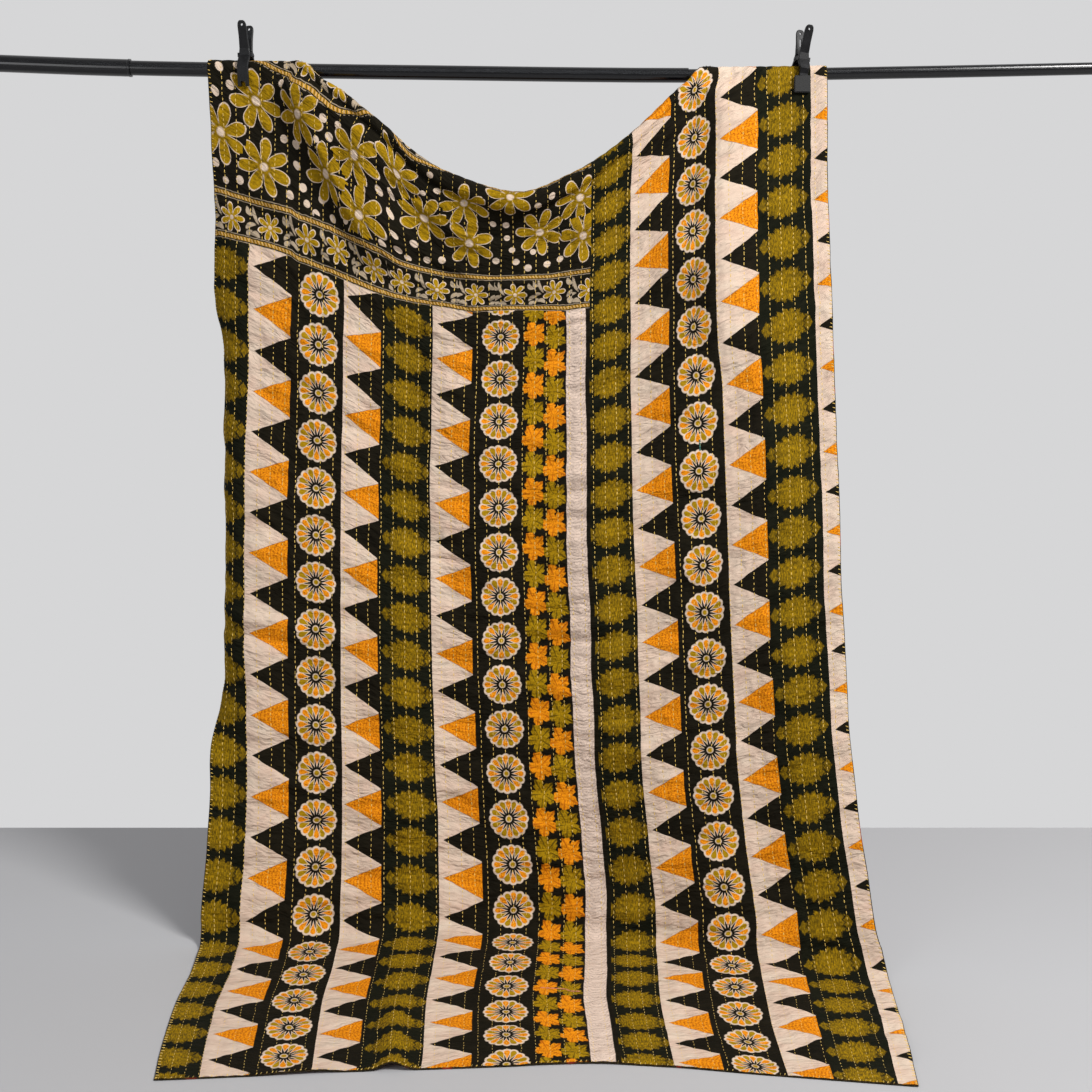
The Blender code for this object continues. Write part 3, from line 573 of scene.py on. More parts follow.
class Cloth:
    """The middle surface of the cloth as grids: points, facing, across, down, travel and thread.

    panel_edge gives how far down the panel's lower edge lies, where the mesh has a row of its own."""

    def __init__(self, panel_edge):
        self.places = column_places()
        strips, downs, travels, floors, quarters = [], [], [], [], []
        for across in self.places:
            view = SideView(across)
            travel = view.rows(float(panel_edge(across)) - view.below_top)
            forward, height = view.at(travel)
            down = view.below_top + travel
            shift, back = side_roll(across, read(SECTIONS, "down", "rolled", down))
            rises = np.clip((travel - view.quarter) / LIFT_STARTS, 0, 1)
            lift, push = crease_lift(across, down) * eased(rises)
            lying = np.clip((travel - view.bends_at) / (math.pi / 2 * BEND_RADIUS), 0, 1)
            x = section_x(across, down) + shift - push
            y = ROD_Y - (forward + lift * (1 - lying)) + back
            strips.append(np.stack([x, y, height + lift * lying], 1))
            downs.append(down)
            travels.append(travel)
            floors.append(lying)
            quarters.append(view.quarter)
        self.points = np.array(strips).transpose(1, 0, 2)
        self.down = np.array(downs).T
        self.travel = np.array(travels).T
        self.across = np.broadcast_to(self.places, self.down.shape)
        self.thread = np.stack([thread_at(u, self.down[:, i]) for i, u in enumerate(self.places)], 1)
        lying = np.array(floors).T
        fade = np.clip((self.travel - np.array(quarters)) / RIPPLES_FADE, 0, 1)
        ripple = ripple_height(self.across, self.thread) * fade
        ripple = ripple * (1 - lying) + np.maximum(ripple, 0) * RIPPLE_ON_FLOOR * lying
        ripple = ripple * np.clip(self.across / SIDE_STRIP, RIPPLE_AT_SIDE, 1)
        self.points = self.points + normals(self.points) * ripple[..., None]
        sway = SWAY.height * soft_noise(self.across / SWAY.wide, self.thread / SWAY.long, SWAY.seed)
        self.points[..., 0] += sway * fade
        self.facing = normals(self.points)


class Sight:
    """Finds the place on the cloth that is seen at a spot of the camera's picture."""

    def __init__(self, cloth):
        self.cloth = cloth
        tilt = math.radians(CAMERA_DOWN)
        ray = cloth.points + cloth.facing * CLOTH_THICK / 2 - np.array(CAMERA_PLACE)
        depth = ray[..., 1] * math.cos(tilt) - ray[..., 2] * math.sin(tilt)
        rise = ray[..., 1] * math.sin(tilt) + ray[..., 2] * math.cos(tilt)
        scale = CAMERA_LENS / SENSOR_WIDE * PICTURE_WIDE
        self.column = PICTURE_WIDE / 2 + ray[..., 0] / depth * scale
        self.row = PICTURE_WIDE / 2 - rise / depth * scale
        turned_away = (ray * cloth.facing).sum(2) > 0
        self.behind = np.where(turned_away, OUT_OF_SIGHT, depth * BEHIND_COSTS)

    def place(self, spot):
        """Across and down: the nearest point of the grid, and a step from there to the spot."""
        distance = np.hypot(self.column - spot.column, self.row - spot.row) + self.behind
        i, j = np.unravel_index(np.argmin(distance), distance.shape)
        i, j = np.clip((i, j), 1, np.array(distance.shape) - 2)
        grids = np.array([self.column, self.row, self.cloth.across, self.cloth.down])
        over = (grids[:, i, j + 1] - grids[:, i, j - 1]) / 2
        along = (grids[:, i + 1, j] - grids[:, i - 1, j]) / 2
        off = np.array([spot.column, spot.row]) - grids[:2, i, j]
        steps = np.linalg.solve(np.stack([over[:2], along[:2]], 1), off)
        steps = np.clip(steps, -MOST_CELLS, MOST_CELLS)
        return grids[2:, i, j] + steps[0] * over[2:] + steps[1] * along[2:]

    def places(self, spots):
        return np.array([self.place(spot) for spot in spots]).T


class Panel:
    """The flower panel's own heights, from where its ropes are seen."""

    def __init__(self, sight):
        self.lower_rope = sight.places(LOWER_ROPE)
        self.middle_rope = sight.places(MIDDLE_ROPE)
        across, down = sight.places(UPPER_ROPE)
        self.upper_rope = across, self.up(across, down)
        self.flowers = [self.motif(sight, seen, seen.size, seen.turn) for seen in FLOWERS]
        self.flowers.extend(HIDDEN_FLOWERS)
        self.small_flowers = [self.motif(sight, spot, SMALL_FLOWER_SIZE, 0) for spot in SMALL_FLOWERS]
        self.dots = [self.motif(sight, seen, seen.radius, 0) for seen in DOTS]
        self.dots.extend(HIDDEN_DOTS)

    def motif(self, sight, spot, size, turn):
        across, down = sight.place(spot)
        return Motif(across, float(self.up(across, down)), size, turn)

    def unit(self, across):
        """How much of the cloth one unit of height takes up."""
        between = smooth(across, *self.lower_rope) - smooth(across, *self.middle_rope)
        return between / (MIDDLE_ROPE_UP - LOWER_ROPE_UP)

    def edge(self, across):
        """How far down the panel's lower edge lies."""
        return smooth(across, *self.lower_rope) + LOWER_ROPE_UP * self.unit(across)

    def up(self, across, down):
        return (self.edge(across) - down) / self.unit(across)

    def upper(self, across):
        return smooth(across, *self.upper_rope)


def normals(grid):
    """Unit normals of a grid of points, on the side of the quilt's face."""
    along = np.gradient(grid, axis=0)
    over = np.gradient(grid, axis=1)
    return unit(np.cross(along, over))


# ---- meshes


def new_piece(name, points, faces, materials):
    """A smooth mesh object that rides with the quilt's body."""
    mesh = bpy.data.meshes.new(name)
    mesh.from_pydata(np.asarray(points).reshape(-1, 3).tolist(), [], np.asarray(faces).tolist())
    mesh.shade_smooth()
    obj = bpy.data.objects.new(name, mesh)
    bpy.context.scene.collection.objects.link(obj)
    for material in materials:
        mesh.materials.append(material)
    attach(obj, "root")
    return obj


def grid_faces(rows, columns):
    """Quads over a grid of rows by columns points, seen from the quilt's face."""
    first = (np.arange(rows - 1)[:, None] * columns + np.arange(columns - 1)).reshape(-1)
    return np.stack([first, first + columns, first + columns + 1, first + 1], 1)


def corners(values):
    """The value at each corner of each of the grid's faces, in the order of grid_faces."""
    around = (values[:-1, :-1], values[1:, :-1], values[1:, 1:], values[:-1, 1:])
    return np.stack(around, -1).reshape(-1, 4)


def set_uv(mesh, name, across, along):
    layer = mesh.uv_layers.new(name=name)
    layer.uv.foreach_set("vector", np.stack([across, along], -1).astype(np.float32).reshape(-1))


def picked(table, name, which):
    """One value of the row that each face uses, to go with the values at its corners."""
    return column(table, name)[which][:, None]


def stripe_print(across, thread):
    """Which stripe each face is in, and the print's coordinates there, in units of its motif."""
    stripe = np.searchsorted(column(STRIPES, "start"), across.mean(1), side="right") - 1
    print_x = (across - picked(STRIPES, "middle", stripe)) / picked(STRIPES, "scale", stripe)
    print_y = (thread - picked(STRIPES, "phase", stripe)) / picked(STRIPES, "pitch", stripe)
    return stripe, print_x, print_y


def motif_uv(motifs, across, up):
    """Coordinates round the motif nearest to each face, turned with it, in units of its size."""
    places = np.stack([column(motifs, "across"), column(motifs, "up")], 1)
    middle = np.stack([across.mean(1), up.mean(1)], 1)
    which = np.argmin(np.linalg.norm(middle[:, None] - places[None], axis=2), 1)
    x = across - picked(motifs, "across", which)
    y = up - picked(motifs, "up", which)
    turn = np.radians(picked(motifs, "turn", which))
    size = picked(motifs, "size", which)
    cos, sin = np.cos(turn), np.sin(turn)
    return (x * cos + y * sin) / size, (y * cos - x * sin) / size


def make_face(cloth, panel, kinds):
    """The printed side. kinds gives the material of each kind of stripe, in order."""
    relief = QUILTING_RELIEF * np.abs(np.sin(math.pi * cloth.across / STITCH_SPACING))
    points = cloth.points + cloth.facing * (CLOTH_THICK / 2 + relief)[..., None]
    face = new_piece("quilt_face", points, grid_faces(*cloth.down.shape), kinds.values())
    names = list(kinds)
    across, thread = corners(cloth.across), corners(cloth.thread)
    stripe, print_x, print_y = stripe_print(across, thread)
    material = np.array([names.index(row.kind) for row in STRIPES])[stripe]

    up = corners(panel.up(cloth.across, cloth.down))
    rows_above = ROWS_ON_FLAP + 2 * ROWS_ON_FOLD + ROWS_ABOVE_EDGE
    above = np.repeat(np.arange(len(cloth.down) - 1) < rows_above, len(cloth.places) - 1)
    inside = above & (across.mean(1) < PANEL_END)
    upper = panel.upper(across)
    in_upper = (up - upper).mean(1) > 0
    band_up = np.where(in_upper[:, None], up - upper, up)
    bands = inside & (band_up.mean(1) < BAND_TOP)
    material[inside] = names.index("flowers")
    material[bands] = names.index("band")
    print_x[inside] = across[inside]
    print_y[inside] = np.where(bands[:, None], band_up, up)[inside]
    motif_x, motif_y = motif_uv(panel.flowers, across, up)
    small_x, small_y = motif_uv(panel.small_flowers, across, band_up)
    motif_x[bands], motif_y[bands] = small_x[bands], small_y[bands]

    mesh = face.data
    down_share = np.linspace(1, 0, len(cloth.down))[:, None]
    bake_y = corners(np.broadcast_to(down_share, cloth.down.shape))
    set_uv(mesh, "OFBake", across / CLOTH_WIDTH, bake_y)
    set_uv(mesh, "cloth", across, thread)
    set_uv(mesh, "print", print_x, print_y)
    set_uv(mesh, "motif", motif_x, motif_y)
    set_uv(mesh, "dots", *motif_uv(panel.dots, across, up))
    mesh.polygons.foreach_set("material_index", material.astype(np.int32))
    return face


def off_floor(points, height):
    """The points, with none lower than this above the floor."""
    points[..., 2] = np.maximum(points[..., 2], height)
    return points


def every_second(count):
    return np.append(np.arange(0, count - 1, 2), count - 1)


def make_reverse(cloth, material):
    """The plain side, with every second row and column of the cloth."""
    used = np.ix_(every_second(len(cloth.down)), every_second(len(cloth.places)))
    points = off_floor(cloth.points[used] - cloth.facing[used] * CLOTH_THICK / 2, CLOTH_OFF_FLOOR)
    faces = grid_faces(*points.shape[:2])[:, ::-1]
    reverse = new_piece("quilt_reverse", points, faces, [material])
    across = corners(cloth.across[used])[:, ::-1]
    thread = corners(cloth.thread[used])[:, ::-1]
    bake_y = 1 - (thread + BAKED_ABOVE) / BAKED_LENGTH
    set_uv(reverse.data, "OFBake", across / CLOTH_WIDTH, bake_y)
    set_uv(reverse.data, "cloth", across, thread)
    return reverse


def rim_of(grid):
    """The points round a grid's edge, in order."""
    return np.concatenate([grid[:-1, 0], grid[-1, :-1], grid[:0:-1, -1], grid[0, :0:-1]])


def make_hem(cloth, material):
    """The turned edge that joins the face to the reverse, round all four sides."""
    middle, facing = rim_of(cloth.points), rim_of(cloth.facing)
    step = np.roll(middle, -1, 0) - np.roll(middle, 1, 0)
    outward = unit(np.cross(step, facing))
    half = CLOTH_THICK / 2
    rings = [
        middle + facing * half * math.sin(turn) + outward * half * math.cos(turn)
        for turn in np.linspace(-0.5, 0.5, HEM_POINTS) * math.pi
    ]
    points = off_floor(np.stack(rings, 1), CLOTH_OFF_FLOOR)
    points = np.concatenate([points, points[:1]])
    return new_piece("quilt_hem", points, grid_faces(*points.shape[:2]), [material])


def make_stitches(name, starts, ends, facing, lift, half_width, material):
    """Small humps of thread from starts to ends.

    Each has a point at both ends and, at two places between, a left, a top and a right point."""
    run = ends - starts
    side = unit(np.cross(run, facing)) * half_width
    parts = [starts]
    for share in (HUMP_RISES, 1 - HUMP_RISES):
        middle = starts + run * share
        parts += [middle - side, middle + facing * lift, middle + side]
    points = off_floor(np.stack([*parts, ends], 1), THREAD_OFF_FLOOR)
    faces = np.arange(len(starts))[:, None, None] * points.shape[1] + np.array(HUMP_FACES)
    return new_piece(name, points, faces.reshape(-1, 3), [material])


def along_line(places, run, line):
    """The points at these places of a line, where run is how far along it each of its points is."""
    return np.stack([np.interp(places, run, line[:, k]) for k in range(3)], 1)


def running_stitches(cloth, name, side, begins, material, seed):
    """A dash of thread on every stitch line of the face (side 1) or the reverse (side -1)."""
    rng = np.random.default_rng(seed)
    facing = cloth.facing * side
    surface = cloth.points + facing * CLOTH_THICK / 2
    starts, ends, ups = [], [], []
    for c in range(4, COLUMNS - 3, 4):
        travel = cloth.travel[:, c]
        first = travel[0] + FIRST_STITCH + begins + rng.uniform(0, FIRST_VARIES)
        place = np.arange(first, travel[-1] - STITCH_MARGIN, DASH_PITCH)
        place = place + rng.normal(0, PLACE_VARIES, len(place))
        half = np.clip(rng.normal(DASH_LENGTH / 2, HALF_VARIES, len(place)), SHORTEST_HALF, LONGEST_HALF)
        sway = rng.normal(0, SWAY_VARIES, len(place))
        for wanted, out in ((place - half, starts), (place + half, ends)):
            out.append(along_line(wanted, travel, surface[:, c]) + sway[:, None] * np.array([1.0, 0, 0]))
        ups.append(along_line(place, travel, facing[:, c]))
    starts, ends, ups = (np.concatenate(parts) for parts in (starts, ends, ups))
    sunk = ups * STITCH_SUNK
    trodden = 1 - TRODDEN * np.clip(ups[:, 2:], 0, 1)
    half_width = DASH_WIDTH / 2 * trodden
    return make_stitches(name, starts - sunk, ends - sunk, ups, DASH_LIFT * trodden, half_width, material)


def edge_stitches(cloth, material):
    """Slanting stitches of thread over the hem, all round."""
    rng = np.random.default_rng(5)
    rim = rim_of(cloth.points)
    inner = rim_of(np.pad(cloth.points[1:-1, 1:-1], ((1, 1), (1, 1), (0, 0)), mode="edge"))
    run = np.concatenate([[0], np.cumsum(np.linalg.norm(np.diff(rim, axis=0), axis=1))])
    place = np.arange(STITCH_MARGIN, run[-1] - STITCH_MARGIN, EDGE_PITCH)
    place = place + rng.normal(0, EDGE_VARIES, len(place))
    middle, facing, inward = (
        along_line(place, run, line) for line in (rim, rim_of(cloth.facing), unit(inner - rim))
    )
    slant = along_line(place + EDGE_SLANT, run, rim) - middle
    length = rng.uniform(*EDGE_LENGTHS, (len(place), 1))
    raised = middle + facing * (CLOTH_THICK / 2 + EDGE_RAISED)
    starts = raised - inward * EDGE_OVERHANG
    ends = raised + inward * length + slant
    return make_stitches("edge_stitches", starts, ends, facing, DASH_LIFT, EDGE_HALF_WIDTH, material)


def mend(cloth, name, start, end, material):
    """A short line of darning from one (across, down) to another."""
    spots, ups = [], []
    for across, down in np.linspace(start, end, MEND_POINTS):
        c = int(np.argmin(abs(cloth.places - across)))
        r = int(np.argmin(abs(cloth.down[:, c] - down) + (cloth.travel[:, c] < 0)))
        shift = np.array([across - cloth.places[c], 0, 0])
        spots.append(cloth.points[r, c] + shift + cloth.facing[r, c] * (CLOTH_THICK / 2 + QUILTING_RELIEF))
        ups.append(cloth.facing[r, c])
    spots, ups = np.array(spots), np.array(ups)
    return make_stitches(name, spots[:-1], spots[1:], ups[:-1], MEND_LIFT, MEND_HALF_WIDTH, material)


# ---- colours


def srgb(*color):
    """A colour for a shader from its 0 to 255 parts."""
    parts = [part / 255 for part in color]
    linear = [p / 12.92 if p <= 0.04045 else ((p + 0.055) / 1.055) ** 2.4 for p in parts]
    return (*linear, 1.0)


CLOTH_SHADE = 0.80  # the cloth's colours are those in a bright light, and this dims them
ORANGE = srgb(238, 146, 12)
ORANGE_SPECK = srgb(186, 98, 6)
PINK = srgb(219, 200, 180)
PINK_RED = srgb(216, 186, 166)
BLACK = srgb(18, 15, 6)
GREEN_BLACK = srgb(14, 17, 6)
OLIVE = srgb(168, 131, 6)
OLIVE_DARK = srgb(94, 74, 6)
CREAM = srgb(219, 197, 176)
CREAM_DULL = srgb(176, 158, 134)
BEIGE = srgb(226, 203, 186)
BEIGE_DARK = srgb(112, 86, 84)
THREAD_YELLOW = srgb(228, 190, 92)
ROPE_YELLOW = srgb(190, 142, 44)
SALMON = srgb(205, 118, 88)
TEAL = srgb(38, 104, 92)
REVERSE_RED = srgb(122, 44, 30)
REVERSE_STAIN = srgb(88, 34, 30)
FLOOR_GREY = srgb(164, 164, 166)
STUDIO_FRONT = srgb(146, 146, 148)
STUDIO_BACK = srgb(214, 214, 215)
HEM_BROWN = srgb(52, 42, 26)
# the pale colour that the cloth's raised puckers are lifted towards: partly dust, partly a painted sheen
DUST_AND_SHEEN = srgb(130, 112, 82)
REVERSE_THREAD = srgb(186, 158, 110)
TUBE_BLACK = srgb(5, 5, 7)
TUBE_RUBBED = srgb(12, 13, 16)
PLASTIC_BLACK = srgb(7, 7, 8)
PLASTIC_GREY = srgb(18, 18, 20)
RUBBER_BLACK = srgb(12, 12, 12)
RUBBER_GREY = srgb(26, 25, 24)
STEEL = srgb(120, 120, 124)
STEEL_DARK = srgb(82, 82, 86)


# ---- materials


def made(tree, kind, inputs, output, **settings):
    """The output of a new node that has these settings, and these numbers or values at its inputs."""
    node = tree.nodes.new(kind)
    for name, setting in settings.items():
        setattr(node, name, setting)
    for name, value in inputs.items():
        if isinstance(value, Value):
            tree.links.new(value.socket, node.inputs[name])
        else:
            node.inputs[name].default_value = value
    return Value(tree, node.outputs[output])


class Value:
    """A number that nodes work out at each point of a surface. It adds and multiplies as numbers do."""

    def __init__(self, tree, socket):
        self.tree = tree
        self.socket = socket

    def math(self, operation, *others):
        inputs = dict(enumerate((self, *others)))
        return made(self.tree, "ShaderNodeMath", inputs, 0, operation=operation)

    def __add__(self, other):
        return self.math("ADD", other)

    def __sub__(self, other):
        return self.math("SUBTRACT", other)

    def __mul__(self, other):
        return self.math("MULTIPLY", other)

    def __truediv__(self, other):
        return self.math("DIVIDE", other)

    def under(self, edge, soft=0.02):
        """1 where this is less than the edge, 0 where it is more, and soft between."""
        inputs = {"Value": self, "From Min": edge - soft, "From Max": edge + soft}
        inputs |= {"To Min": 1.0, "To Max": 0.0}
        return made(self.tree, "ShaderNodeMapRange", inputs, "Result")

    def over(self, edge, soft=0.02):
        return self.under(edge, soft).math("MULTIPLY_ADD", -1.0, 1.0)

    def centred(self):
        """The distance from the nearest whole number, from -0.5 to 0.5."""
        return (self + 0.5).math("FRACT") - 0.5

    def size(self):
        return self.math("ABSOLUTE")


class Paint:
    """Builds one material's nodes."""

    def __init__(self, name, roughness, specular=0.5, metallic=0.0):
        self.material = bpy.data.materials.new(name)
        self.material.use_nodes = True
        self.tree = self.material.node_tree
        self.shader = self.tree.nodes["Principled BSDF"].inputs
        self.shader["Roughness"].default_value = roughness
        self.shader["Specular IOR Level"].default_value = specular
        self.shader["Metallic"].default_value = metallic

    def parts(self, vector):
        return [made(self.tree, "ShaderNodeSeparateXYZ", {0: vector}, axis) for axis in "XYZ"]

    def uv(self, name):
        """The two coordinates of a UV map."""
        return self.parts(made(self.tree, "ShaderNodeUVMap", {}, "UV", uv_map=name))[:2]

    def place(self):
        """The point's coordinates in the object."""
        return self.parts(made(self.tree, "ShaderNodeTexCoord", {}, "Object"))

    def noise(self, x, y, z=0.0, detail=2.0, rough=0.5):
        """Soft noise about 0 and roughly from -0.5 to 0.5, with features one unit wide."""
        vector = made(self.tree, "ShaderNodeCombineXYZ", {0: x, 1: y, 2: z}, 0)
        inputs = {"Vector": vector, "Scale": 1.0, "Detail": detail, "Roughness": rough}
        return made(self.tree, "ShaderNodeTexNoise", inputs, "Fac") - 0.5

    def grain(self, long, wide, detail=2.0, rough=0.5):
        """Noise in the object's own coordinates, with features this long along X."""
        x, y, z = self.place()
        return self.noise(x / long, y / wide, z / wide, detail, rough)

    def polar(self, x, y):
        """Distance from the centre, and turn round it in whole turns."""
        return (x * x + y * y).math("SQRT"), y.math("ARCTAN2", x) / (2 * math.pi)

    def mix(self, share, first, second):
        """first where share is 0, second where it is 1. Either is a colour or another mix."""
        inputs = {0: share, 6: first, 7: second}
        return made(self.tree, "ShaderNodeMix", inputs, 2, data_type="RGBA")

    def shade(self, color, amount):
        """The colour, brighter or darker by the amount about 1."""
        plain = color[:3] if isinstance(color, tuple) else color
        return made(self.tree, "ShaderNodeVectorMath", {0: plain, "Scale": amount}, 0, operation="SCALE")

    def finish(self, color, height=None, roughness=None):
        self.tree.links.new(color.socket, self.shader["Base Color"])
        if height is not None:
            bump = made(self.tree, "ShaderNodeBump", {"Distance": 1.0, "Height": height}, 0)
            self.tree.links.new(bump.socket, self.shader["Normal"])
        if roughness is not None:
            self.tree.links.new(roughness.socket, self.shader["Roughness"])
        return self.material


class Cotton(Paint):
    """Quilted cotton: a print, then the cloth's own weave, puckers and wear, with painted shade in the
    puckers' hollows and a painted sheen on their ridges.
    """

    def __init__(self, name):
        super().__init__(name, COTTON_ROUGHNESS, COTTON_SPECULAR)
        self.across, self.thread = self.uv("cloth")

    def speckle(self, wide, long, seed, detail=1.0, rough=0.5):
        """Noise in the cloth's coordinates."""
        return self.noise(self.across / wide, self.thread / long, seed, detail, rough)

    def printed(self, name, amount, size):
        """A UV map's coordinates, moved a little, as a hand print is never quite even."""
        x, y = self.uv(name)
        return x + self.speckle(size, size, 7.0) * amount, y + self.speckle(size, size, 19.0) * amount

    def over_wrinkles(self):
        """The thread coordinate, bent to cross the wrinkles, which slant towards the clips."""
        middle = self.across - SLANT_MIDDLE
        fades = (self.thread * -SLANT_LOSS + SLANT_AT_TOP).math("MAXIMUM", LEAST_SLANT).math("MINIMUM", 1.0)
        warp = self.speckle(0.070, 0.070, 21.0, detail=1.5)
        return self.thread + middle * middle * fades * (SLANT / 2) + warp * 0.030

    def finish_cloth(self, ground, *layers):
        """Layers of mask and colour on a ground, faded unevenly, on a puckered weave with wrinkles. The
        puckers, wrinkles and pressed folds also darken the colour in their hollows and lighten it on their
        ridges as painted shade and light, and the ridges are lifted towards a pale colour that is partly
        dust and partly a painted sheen.
        """
        color = ground
        for mask, layer in layers:
            color = self.mix(mask, color, layer)
        along, over = self.across, self.over_wrinkles()
        patch = self.speckle(0.06, 0.05, 33.0).over(-0.10, 0.25)
        pucker = self.noise(along / 0.017, over / 0.0078, detail=1.5) * patch
        wrinkle = self.noise(along / 0.045, over / 0.0210, 9.0, rough=0.55)
        fold = self.noise(along / 0.040, over / 0.0150, 41.0, detail=1.0).size().under(0.012, 0.040)
        fading = self.speckle(0.11, 0.09, 3.0, detail=4.0, rough=0.65)
        weave_x = (self.across * (2 * math.pi / WEAVE)).math("SINE")
        weave_y = (self.thread * (2 * math.pi / WEAVE)).math("SINE")
        weave = weave_x * weave_y
        # fading is the cloth's own uneven tone; the pucker, wrinkle and fold terms are painted shade in the
        # hollows of the relief and painted light on its ridges
        fading_and_painted_shade = fading * 0.22 + pucker * 0.16 + wrinkle * 0.10 - fold * patch * 0.07
        fading_and_painted_shade = fading_and_painted_shade + weave * 0.05 + CLOTH_SHADE
        height = pucker * PUCKER_HEIGHT + wrinkle * WRINKLE_HEIGHT - fold * patch * PRESSED_DEPTH
        height = height + weave * WEAVE_HEIGHT
        # lifted towards a pale colour where the puckers and wrinkles stand up: partly dust, partly a
        # painted sheen on the ridges
        dust_and_sheen = self.mix((pucker + wrinkle + fading).over(0.05, 0.35) * 0.025, color, DUST_AND_SHEEN)
        return self.finish(self.shade(dust_and_sheen, fading_and_painted_shade), height)


def triangles():
    """Orange and black triangles in turn that point left out of a pink ground."""
    paint = Cotton("triangles print")
    x, y = paint.printed("print", 0.030, 0.03)
    up = y.centred()
    orange = up.size() - x * 0.232
    black = (y + 0.5).centred().size() - x * 0.250
    speck = paint.speckle(0.0032, 0.0032, 11.0)
    arc = (((x - 1.5) * (x - 1.5) + up * up * 6.0).math("SQRT") * 11.0).centred().size() - 0.25
    fill = paint.mix((speck + arc * 0.35).over(0.05, 0.10), ORANGE, ORANGE_SPECK)
    blush = paint.speckle(0.05, 0.04, 17.0, detail=2.0).over(0.0, 0.25)
    return paint.finish_cloth(
        paint.mix(blush, PINK, PINK_RED),
        (black.under(0.0, 0.003), BLACK),
        (orange.under(0.004, 0.003) * 0.8, BLACK),
        (orange.under(0.0, 0.003), fill),
        (x.over(1.0, 0.01) * x.under(1.1, 0.01), BLACK),
    )


def rosettes():
    """Round flowers of orange and olive drops about a spiky black star."""
    paint = Cotton("rosettes print")
    x, y = paint.printed("print", 0.030, 0.03)
    radius, turn = paint.polar(x * 1.10, y.centred())
    radius = radius / 0.435
    ray = (turn * 16.0).centred()
    scallop = ray * ray * -0.30 + 1.02
    wide = ((radius - 0.36) * 1.35).math("MINIMUM", 0.425)
    drop = (ray.size() - wide).under(0.0, 0.03) * (ray * ray * 0.60 + radius).under(0.925, 0.015)
    olive = (turn * 8.0 + 0.25).centred().under(0.0, 0.02)
    speck = paint.speckle(0.003, 0.003, 11.0)
    orange = paint.mix(speck.over(0.10, 0.10), ORANGE, ORANGE_SPECK)
    spikes = (ray.size() * 2.0).math("POWER", 1.5) * 0.36 + 0.28
    return paint.finish_cloth(
        paint.mix((radius - scallop).under(0.0, 0.02), BLACK, CREAM),
        (drop, paint.mix(olive, orange, OLIVE)),
        ((radius - spikes).under(0.0, 0.025), BLACK),
        (radius.under(0.165, 0.02), CREAM),
        (radius.under(0.120, 0.02), OLIVE),
    )


def ovals():
    """Olive medallions with ragged, toothed edges and a bud at each end, on black."""
    paint = Cotton("ovals print")
    x, y = paint.printed("print", 0.040, 0.02)
    up = y.centred()
    radius, turn = paint.polar(x, up)
    tooth = (turn * 15.0).centred().size()
    fringe = paint.speckle(0.0028, 0.0050, 2.0, detail=2.0, rough=0.75)
    body = (x / 0.53).size().math("POWER", 1.9) + (up / 0.430).size().math("POWER", 1.8)
    body = body + fringe * 0.90 + tooth * 0.75
    bud = ((x.size() - 0.50) / 0.125).size() + (up / 0.20).size() + fringe * 0.8
    zigzag = (x.size() - 0.385 - (up / 0.15 + 0.5).centred().size() * 0.11).size()
    hatch = paint.speckle(0.0022, 0.010, 5.0, detail=2.0, rough=0.6)
    fill = paint.mix((hatch + radius * 0.20).over(0.01, 0.12) * 0.95, OLIVE, OLIVE_DARK)
    shape = body.under(1.02, 0.07).math("MAXIMUM", bud.under(0.95, 0.10))
    zigzag_mask = zigzag.under(0.018, 0.014) * 0.75
    return paint.finish_cloth(GREEN_BLACK, (shape, fill), (zigzag_mask, GREEN_BLACK))


def leaves():
    """Lobed leaves, orange and olive in turn."""
    paint = Cotton("leaves print")
    x, y = paint.printed("print", 0.050, 0.02)
    orange = y.centred().size().under(0.25, 0.005)
    up = (y * 2.0).centred()
    leaf_x, leaf_y = x * 1.12 + up * 0.14 - 0.02, up * 0.92 - x * 0.25 - 0.03
    radius, turn = paint.polar(leaf_x, leaf_y)
    lobe = (turn * 5.0 + 0.75).centred().size()
    tooth = (turn * 15.0 + 0.25).centred().size()
    edge = radius + lobe * 0.44 + tooth * 0.14 - 0.560
    stalk = ((leaf_x + 0.14) / 0.15).size() + ((leaf_y + 0.40) / 0.17).size()
    edge = edge.math("MINIMUM", (stalk - 1.0) * 0.15)
    edge = edge + paint.speckle(0.007, 0.007, 4.0, detail=2.0) * 0.12
    rib = (lobe - 0.02).under(0.035, 0.03) * radius.over(0.06, 0.05)
    vein = paint.speckle(0.0026, 0.007, 9.0)
    dark = vein.over(0.11, 0.1).math("MAXIMUM", rib)
    bright = paint.mix(dark, ORANGE, ORANGE_SPECK)
    dull = paint.mix(dark, OLIVE, OLIVE_DARK)
    return paint.finish_cloth(BLACK, (edge.under(0.0, 0.025), paint.mix(orange, dull, bright)))


def plain_strip():
    """A beige strip printed with faint dotted fans, beside a plain black one."""
    paint = Cotton("beige strip print")
    x, y = paint.printed("print", 0.040, 0.03)
    row = (y * 3.6).centred() + 0.5
    fan = ((x * x * 3.0 + row * row).math("SQRT") * 4.0).centred().size().under(0.12, 0.10)
    dots = paint.speckle(0.0024, 0.0024, 6.0).over(-0.02, 0.1)
    beige = paint.mix(fan * dots * 0.55, BEIGE, BEIGE_DARK)
    return paint.finish_cloth(BLACK, (x.size().under(0.5, 0.015), beige))


def petals(paint, x, y, outline):
    """Masks of a flower's petals, of their outlines, and of its middle."""
    radius, turn = paint.polar(x, y)
    angle = (turn * float(PETALS)).centred() * (2 * math.pi / PETALS)
    along = radius * angle.math("COSINE") - 0.54
    aside = radius * angle.math("SINE") / (along * 0.14 + 0.200)
    inside = ((along / 0.43) * (along / 0.43) + aside * aside).math("SQRT")
    fill = inside.under(1.0 - outline, 0.03).math("MAXIMUM", radius.under(0.27, 0.05))
    return fill, inside.under(1.0, 0.03), radius.under(0.140, 0.03)


